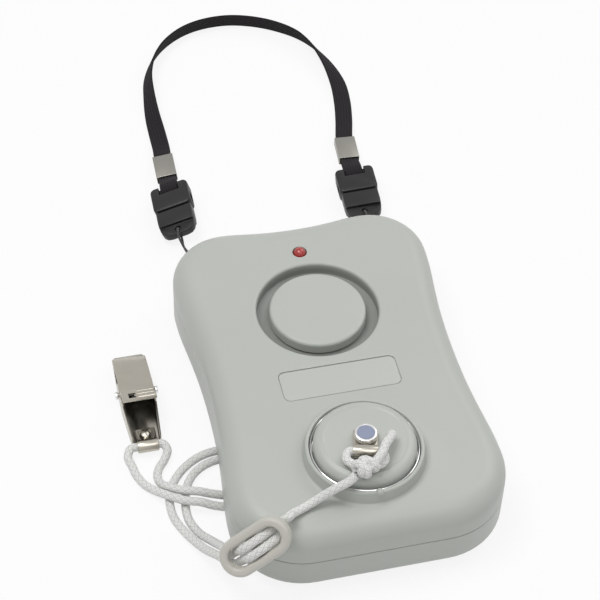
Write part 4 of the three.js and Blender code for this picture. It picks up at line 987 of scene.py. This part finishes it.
pullRoute = [
    (-7.4, -57.4, 41), (-9.6, -58.2, 39.6), (-14, -58.6, 37.6), (-18, -58.4, 34.6), (-22, -59, 32.4),
    (-26.5, -60.6, 32), (-29.8, -62.6, 33.2), nearSlider(14, cord["strand"], -4.5),
    nearSlider(11.4, cord["strand"], -4.4), nearSlider(9.9, cord["strand"], -4.1),
]
clipRoute = inSlider(cord["strand"]) + [
    (-51.6, -57.2, 13.6), (-53.6, -49.6, 7), (-57, -41.6, 2.2), (-59.2, -35, 1.7), (-58.7, -27, 1.6),
    (-56.7, -20.6, 1.6), (-53.2, -16, 1.6), (-48, -13, 1.6), (-42.3, -12.2, 1.6), (-37.8, -13.8, 1.6),
    (-34.6, -18, 1.6), (-35, -23.2, 1.6), (-38.6, -27, 1.6), (-43.6, -28, 1.6), (-49.4, -27.4, 3.2),
    (-54, -26.6, 4.9), (-59.5, -25, 5), (-63.6, -22.2, 4.4), (-65.9, -18.4, 2.2), (-66.3, -14.8, 1.6),
    (-65, -11.4, 1.6), (-62.6, -8.4, 1.8), (-60.9, -4.8, 2.6), (clipX + 5.2, eyeY - 0.2, eyeZ),
    (clipX + 3.6, eyeY, eyeZ), (clipX - 3.6, eyeY, eyeZ), (clipX - 6, eyeY - 0.1, eyeZ), (-75, -5, 2.5),
    (-74.2, -8.6, 1.6), (-73.4, -12.8, 1.6), (-71.4, -17.4, 1.7), (-68.4, -21.6, 2.8), (-64.6, -26, 4.8),
    (-59.5, -29.4, 5), (-54, -31.2, 4.8), (-49.4, -32.4, 3), (-43.6, -33, 1.6), (-37, -31.8, 1.6),
    (-31.6, -27.4, 1.6), (-29.4, -20.8, 1.6), (-31.2, -14, 1.6), (-36.6, -9.6, 1.6), (-43, -8.2, 1.6),
    (-50.6, -9.6, 1.6), (-57.6, -14.2, 1.6), (-62.4, -20.6, 1.6), (-64.2, -27, 1.6), (-63.9, -33.6, 1.6),
    (-61.6, -40.2, 2.2), (-57.4, -49.6, 5), (-53.6, -58.6, 11.4),
] + list(reversed(inSlider(-cord["strand"])))


def braidAlong(name, points):
    line, length = evenly(smoothLine(points, 24), cord["step"])
    piece = tubePiece(name, line, cord["radius"], whiteBraid, cord["sides"], cord["relief"])
    return piece, line, length


pullCord, pullLine, pullLength = braidAlong("pullCordSkin", pullRoute)
clipCord, clipLine, clipLength = braidAlong("clipCordSkin", clipRoute)

# Knot, in the cap's own frame: x and y from its axis, turned with the clasp, z from the table
knotLay = {
    "turn": -14.6, "foldY": -7, "foldZ": 40.7, "middle": (0, -14.1, 42), "wide": 2.5, "tall": 1.9,
    "drift": 1.7,
}


def aboutCap(points):
    turn = Matrix.Rotation(math.radians(knotLay["turn"]), 3, "Z")
    return [tuple(turn @ Vector(point) + Vector((0, cap["y"], 0))) for point in points]


def foldRoute():
    y, z = knotLay["foldY"], knotLay["foldZ"]
    half = [(0.6, -13.5, z + 0.7), (3.2, -13.1, z + 0.6), (5.3, -12, z + 0.4), (6.3, -10.2, z),
            (6.2, -8.5, z), (5.4, -7.3, z), (4, y, z)]
    return half + [(0, y, z)] + [(-a, b, c) for a, b, c in reversed(half)]


def tailRoute():
    z = knotLay["foldZ"]
    return [(0.4, -15.4, z + 2), (2, -14.6, z + 2.6), (4.8, -10.8, z + 3.7), (6.6, -5.6, z + 2.9),
            (8.4, -1, z + 1), (8.7, 0.6, z + 0.3)]


def wrapRoute(offset, heading, start):
    # one turn of cord round the knot, drifting along its heading
    centre, heading = Vector(knotLay["middle"]) + Vector(offset), Vector(heading).normalized()
    side, up = Vector((-heading.y, heading.x, 0)), Vector((0, 0, 1))
    points = []
    for i in range(12):
        angle = math.radians(start + 36 * i)
        points.append(tuple(centre + heading * knotLay["drift"] * (i / 11 - 0.5)
                            + side * knotLay["wide"] * math.cos(angle)
                            + up * knotLay["tall"] * math.sin(angle)))
    return points


def makeKnot():
    routes = [foldRoute(), tailRoute(), wrapRoute((-1.3, -1.2, 0.1), (-0.72, -0.69, 0), 200),
              wrapRoute((0.9, 0.6, 0.3), (0.5, 0.86, 0), 250),
              wrapRoute((-0.2, -0.4, 0.2), (0.9, -0.4, 0), 20)]
    whole = bmesh.new()
    for route in routes:
        part = braidAlong("strand", aboutCap(route))[0]
        whole.from_mesh(part.data)
        bpy.data.objects.remove(part)
    mesh = bpy.data.meshes.new("knotSkin")
    whole.to_mesh(mesh)
    whole.free()
    mesh.materials.append(whiteBraid)
    smoothMesh(mesh, 60)
    return link("knotSkin", mesh)


knot = stands(makeKnot(), "cap", "white_cord", "cord_knot")
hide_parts("pull_cord")
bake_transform(pullCord)
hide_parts("clip_cord")
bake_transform(clipCord)
print("white cord made", round(pullLength), round(clipLength))


# Garment clip
clip = {"edge": 0.14, "halfInside": 5.7, "sheet": 0.8, "rim": 7,
        "ribs": {"count": 3, "radius": 0.75, "length": 6, "start": (clipX + 2.6, 13.5, 11.6),
                 "step": (0, 2.2, -1.03)}}
clipBase = stands(dressed("clip_base", nickel, clip["edge"], 35), "case", "bright_steel", "clip_base")
# painted shade: faces inside the channel that face up or inwards, under the jaw, take the darker nickel
clipBase.data.materials.append(channelNickel)
for spot in clipBase.data.polygons:
    middle = spot.center / mm
    inside = abs(middle.x - clipX) < clip["halfInside"] and clip["sheet"] - 0.1 < middle.z < clip["rim"]
    if inside and (spot.normal.z > 0.6 or spot.normal.x * (middle.x - clipX) < -0.1):
        spot.material_index = 1
stands(dressed("clip_jaw", nickel, clip["edge"], 35), "clip_jaw", "bright_steel", "clip_jaw")
stands(dressed("clip_loop", nickel, 0.1, 35), "case", "bright_steel", "clip_loop")
stands(dressed("clip_rivet", nickel, 0.1, 35), "case", "bright_steel", "clip_rivet")
stands(dressed("clip_pin", brightSteel, 0.15, 35), "case", "bright_steel", "clip_pin")
ribs = clip["ribs"]
tabRibs = fromTree("tabRibs", rowOfTree(nickel), {
    "Count": ribs["count"], "Radius": ribs["radius"] * mm, "Length": ribs["length"] * mm,
    "Start": tuple(Vector(ribs["start"]) * mm), "Step": tuple(Vector(ribs["step"]) * mm),
    "Turn": (0, math.pi / 2, 0)}, nickel)
smoothMesh(tabRibs.data, 40)
onBody(tabRibs, "clip_jaw")
print("garment clip made")


# Buckles
buckle = {"edge": 0.35}
for side in ("left", "right"):
    stands(dressed(f"socket_{side}", blackPlastic, buckle["edge"], 35), "case", "black_plastic",
           f"socket_{side}")
    stands(dressed(f"plug_{side}", blackPlastic, 0.25, 35), f"plug_{side}", "black_plastic",
           f"plug_{side}")
    stands(dressed(f"crimp_{side}", crimpSteel, 0.15, 35), "case", "bright_steel",
                          f"crimp_{side}")
print("buckles made")


# Strap
strap = {"width": 7.0, "thickness": 1.0, "ribs": 6, "layer": 0.75, "wrap": 2.0, "perSpan": 10,
         "socketLength": 12.5, "bar": 2.1, "crimpHalf": 6.0}


def frameAt(place, yaw, roll):
    return (Matrix.Translation(Vector(place)) @ Matrix.Rotation(math.radians(yaw), 4, "Z")
            @ Matrix.Rotation(math.radians(roll), 4, "Y"))


buckleFrames = {
    "left": (frameAt((-37, 107.6, 5.8), -1.9, -18), frameAt((-35.9, 135, 2.9), -1.9, -8)),
    "right": (frameAt((36.6, 103.6, 4.2), -2.9, -5), frameAt((38.3, 131, 2.4), -4, 0)),
}
archLine = [
    (-35.3, 147, 2.4, 6), (-35.2, 156, 1.9, 18), (-35.3, 168, 2.7, 38), (-34.5, 180, 3.4, 53),
    (-33, 190, 3.7, 62), (-29.3, 199.6, 3.9, 70), (-23.2, 208.2, 4, 75), (-14.5, 215, 4, 77),
    (-5.2, 218.4, 4, 77), (6, 219, 4, 77), (16.3, 216.4, 4, 77), (26.4, 211, 4, 76),
    (34.8, 203.4, 3.9, 70), (40, 194.2, 3.5, 57), (43.3, 184, 2.6, 37), (44.8, 173, 1.5, 15),
    (43.9, 161, 1.3, 4), (41.6, 149, 1.8, 0),
]


def stationsAt(place, points, direction):
    across = (place.to_3x3() @ Vector((direction, 0, 0))).normalized()
    return [(place @ Vector((0, y, z)), across) for y, z in points]


def foldStations(side, direction):
    socket, crimp = buckleFrames[side]
    length, wrap, half, layer = strap["socketLength"], strap["wrap"], strap["crimpHalf"], strap["layer"]
    bar = length - strap["bar"] - 0.3 - strap["thickness"] / 2
    around = [(length + 2.4, -1.5), (length + 0.6, -wrap), (bar + 1.4, -wrap), (bar + 0.2, -1.4),
              (bar, 0), (bar + 0.2, 1.4), (bar + 1.4, wrap), (length + 0.6, wrap), (length + 2.4, 1.5)]
    return (stationsAt(crimp, [(half - 1, -layer), (0, -layer), (-half, -layer)], direction)
            + stationsAt(socket, around, direction)
            + stationsAt(crimp, [(-half, layer), (0, layer), (half, layer)], direction))


def archStations():
    result = []
    for i, (x, y, z, lean) in enumerate(archLine):
        before, after = archLine[max(i - 1, 0)], archLine[min(i + 1, len(archLine) - 1)]
        inward = Vector((after[1] - before[1], before[0] - after[0], 0)).normalized()
        turn = math.radians(lean)
        result.append((Vector((x, y, z)), inward * math.cos(turn) + Vector((0, 0, math.sin(turn)))))
    return result


def makeStrap():
    stations = foldStations("left", 1) + archStations() + list(reversed(foldStations("right", -1)))
    centres = smoothLine([c for c, _ in stations], strap["perSpan"])
    sides = smoothLine([a for _, a in stations], strap["perSpan"])
    tangents = np.gradient(np.array(centres), axis=0)
    ribs, half, thick = strap["ribs"], strap["width"] / 2, strap["thickness"] / 2
    crossSteps = ribs * 4
    vertices, uvs, travel = [], [], 0.0
    for i, (centre, side, tangent) in enumerate(zip(centres, sides, tangents)):
        if i:
            travel += float(np.linalg.norm(centres[i] - centres[i - 1]))
        side = side / np.linalg.norm(side)
        up = np.cross(tangent, side)
        up /= np.linalg.norm(up)
        for sign in (1, -1):
            for k in range(crossSteps + 1):
                share = k / crossSteps if sign > 0 else 1 - k / crossSteps
                bulge = 0.70 + 0.30 * abs(math.sin(math.pi * ribs * share))
                if k in (0, crossSteps):
                    bulge = 0.45
                vertices.append(centre + side * (share * 2 - 1) * half + up * sign * thick * bulge)
                uvs.append((share, travel * mm))
    count = 2 * (crossSteps + 1)
    faces = ringFaces(len(centres), count)
    last = (len(centres) - 1) * count
    faces += [tuple(reversed(range(count))), tuple(range(last, last + count))]
    mesh = bpy.data.meshes.new("strapSkin")
    mesh.from_pydata([tuple(v * mm) for v in vertices], [], faces)
    layer = mesh.uv_layers.new(name="run")
    for loop in mesh.loops:
        layer.data[loop.index].uv = uvs[loop.vertex_index]
    work = bmesh.new()
    work.from_mesh(mesh)
    bmesh.ops.recalc_face_normals(work, faces=work.faces)
    work.to_mesh(mesh)
    work.free()
    smoothMesh(mesh, 50)
    mesh.materials.append(webbing)
    return link("strapSkin", mesh), centres, travel


strapPiece, strapLine, strapLength = makeStrap()
stands(strapPiece, "case", "black_webbing", "strap")
tuple(strapLine[0] * mm)
strapLength * mm
[tuple(p * mm) for p in strapLine]
print("strap made", round(strapLength))


# Thin loops between the case and the buckles
thin = {"radius": 0.45, "z": 11, "reach": 13, "firstX": 32.6, "secondX": 35.6}


def makeThinLoop(side, first, second):
    socket = buckleFrames[side][0]
    reach = thin["reach"]
    nose = [(-reach - 4, 2.8), (-reach - 0.4, 2.6), (-reach + 1.6, 2.1), (-reach + 2.5, 0.9),
            (-reach + 2.5, -0.9), (-reach + 1.6, -2.1), (-reach - 0.4, -2.6), (-reach - 4, -2.8)]
    corner = case["strapCorner"]
    wallY = case["length"] / 2 - corner + math.sqrt(corner ** 2
                                                    - (34.1 - case["width"] / 2 + corner) ** 2)
    start = wallY + 0.3
    points = [(first, start, thin["z"]), (first, start + 4, thin["z"] - 2)]
    points += [tuple(socket @ Vector((0, y, z))) for y, z in nose]
    points += [(second, start + 4, thin["z"] - 3), (second, start, thin["z"])]
    line, length = evenly(smoothLine(points, 16), 0.3)
    piece = tubePiece(f"plugLoop{side.title()}Skin", line, thin["radius"], blackBraid, 10, 0.04, 6)
    return piece, line, length


for side, first, second in (("left", -thin["secondX"], -thin["firstX"]),
                            ("right", thin["secondX"], thin["firstX"])):
    piece, line, length = makeThinLoop(side, first, second)
    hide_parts(f"plug_loop_{side}")
    noseEye = buckleFrames[side][0] @ Vector((0, -11.5, 0))
    tuple(noseEye * mm)
    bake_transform(piece)
print("thin loops made")


# Back, screws and the inside
for i in range(1, 5):
    stands(dressed(f"foot_{i}", footRubber, 0.3, 40), "case", "rubber_foot", f"foot_{i}")
    stands(dressed(f"case_screw_{i}", brightSteel, 0.15, 40), "case", "bright_steel", f"case_screw_{i}")
stands(dressed("battery_door", casePlastic, 0.2, 40), "battery_door", "case_plastic", "battery_door")


def paint(material, *names):
    for name in names:
        piece = nodes[name]
        if not piece.material_slots:
            piece.data.materials.append(material)
        for spot in piece.material_slots:
            spot.material = material


paint(blackPlastic, "siren_case")
paint(sheetBrass, "siren_disc")
paint(boardGreen, "circuit_board")
paint(brightSteel, "board_screw_1", "board_screw_2", "contact_strip", "contact_tab_1", "contact_tab_2",
      "contact_spring_1", "contact_spring_2", "clip_spring")
paint(switchGlass, "reed_switch")
paint(cellSleeve, "battery_1", "battery_2")
paint(redWire, "battery_wire_1", "siren_wire_1")
paint(blackWire, "battery_wire_2", "siren_wire_2")
print("inside painted")


# Floor, lights and world
studio = {"key": 8.5, "fill": 4.5, "front": 3.2, "world": 0.36, "floor": (0.93, 0.93, 0.93, 1),
          "floorGlow": 0.86}


def areaLight(name, place, aim, size, power):
    data = bpy.data.lights.new(name, "AREA")
    data.energy, data.shape, data.size = power, "DISK", size
    lamp = bpy.data.objects.new(name, data)
    scene.collection.objects.link(lamp)
    lamp.location = place
    lamp.rotation_euler = (Vector(aim) - Vector(place)).to_track_quat("-Z", "Y").to_euler()
    return lamp


def makeStage():
    shader = Shader("floorWhite")
    light = shader.node("ShaderNodeLightPath", out="Is Camera Ray")
    glossy = shader.node("ShaderNodeLightPath", out="Is Glossy Ray")
    plain = shader.node("ShaderNodeBsdfDiffuse", None, {"Color": studio["floor"]})
    bright = shader.node("ShaderNodeEmission", None, {"Color": (1, 1, 1, 1), "Strength": 1.0})
    share = light.math("MAXIMUM", glossy) * studio["floorGlow"]
    mixed = shader.node("ShaderNodeMixShader", None, [share, plain, bright])
    shader.tree.links.new(mixed.socket, shader.output.inputs["Surface"])
    floor = meshPiece("floor", [(-6, -6, 0), (6, -6, 0), (6, 6, 0), (-6, 6, 0)], [(0, 1, 2, 3)],
                      shader.material, scale=1.0, fix=False)
    floor.location.z = -0.0002
    areaLight("key", (-0.45, 0.1, 1.35), (0, 0.03, 0), 0.7, studio["key"])
    areaLight("fill", (0.9, 0.5, 1.0), (0, 0.03, 0), 1.0, studio["fill"])
    areaLight("front", (0.1, -0.65, 1.35), (0, 0, 0.01), 0.8, studio["front"])
    world = bpy.data.worlds.new("world")
    scene.world = world
    world.use_nodes = True
    tree = world.node_tree
    tree.nodes.clear()
    path = tree.nodes.new("ShaderNodeLightPath")
    pick = tree.nodes.new("ShaderNodeMath")
    pick.operation = "MAXIMUM"
    scaled = tree.nodes.new("ShaderNodeMapRange")
    scaled.inputs["To Min"].default_value, scaled.inputs["To Max"].default_value = studio["world"], 1.0
    glow = tree.nodes.new("ShaderNodeBackground")
    result = tree.nodes.new("ShaderNodeOutputWorld")
    tree.links.new(path.outputs["Is Camera Ray"], pick.inputs[0])
    tree.links.new(path.outputs["Is Glossy Ray"], pick.inputs[1])
    tree.links.new(pick.outputs[0], scaled.inputs["Value"])
    tree.links.new(scaled.outputs[0], glow.inputs["Strength"])
    tree.links.new(glow.outputs[0], result.inputs["Surface"])


makeStage()
print("stage made")
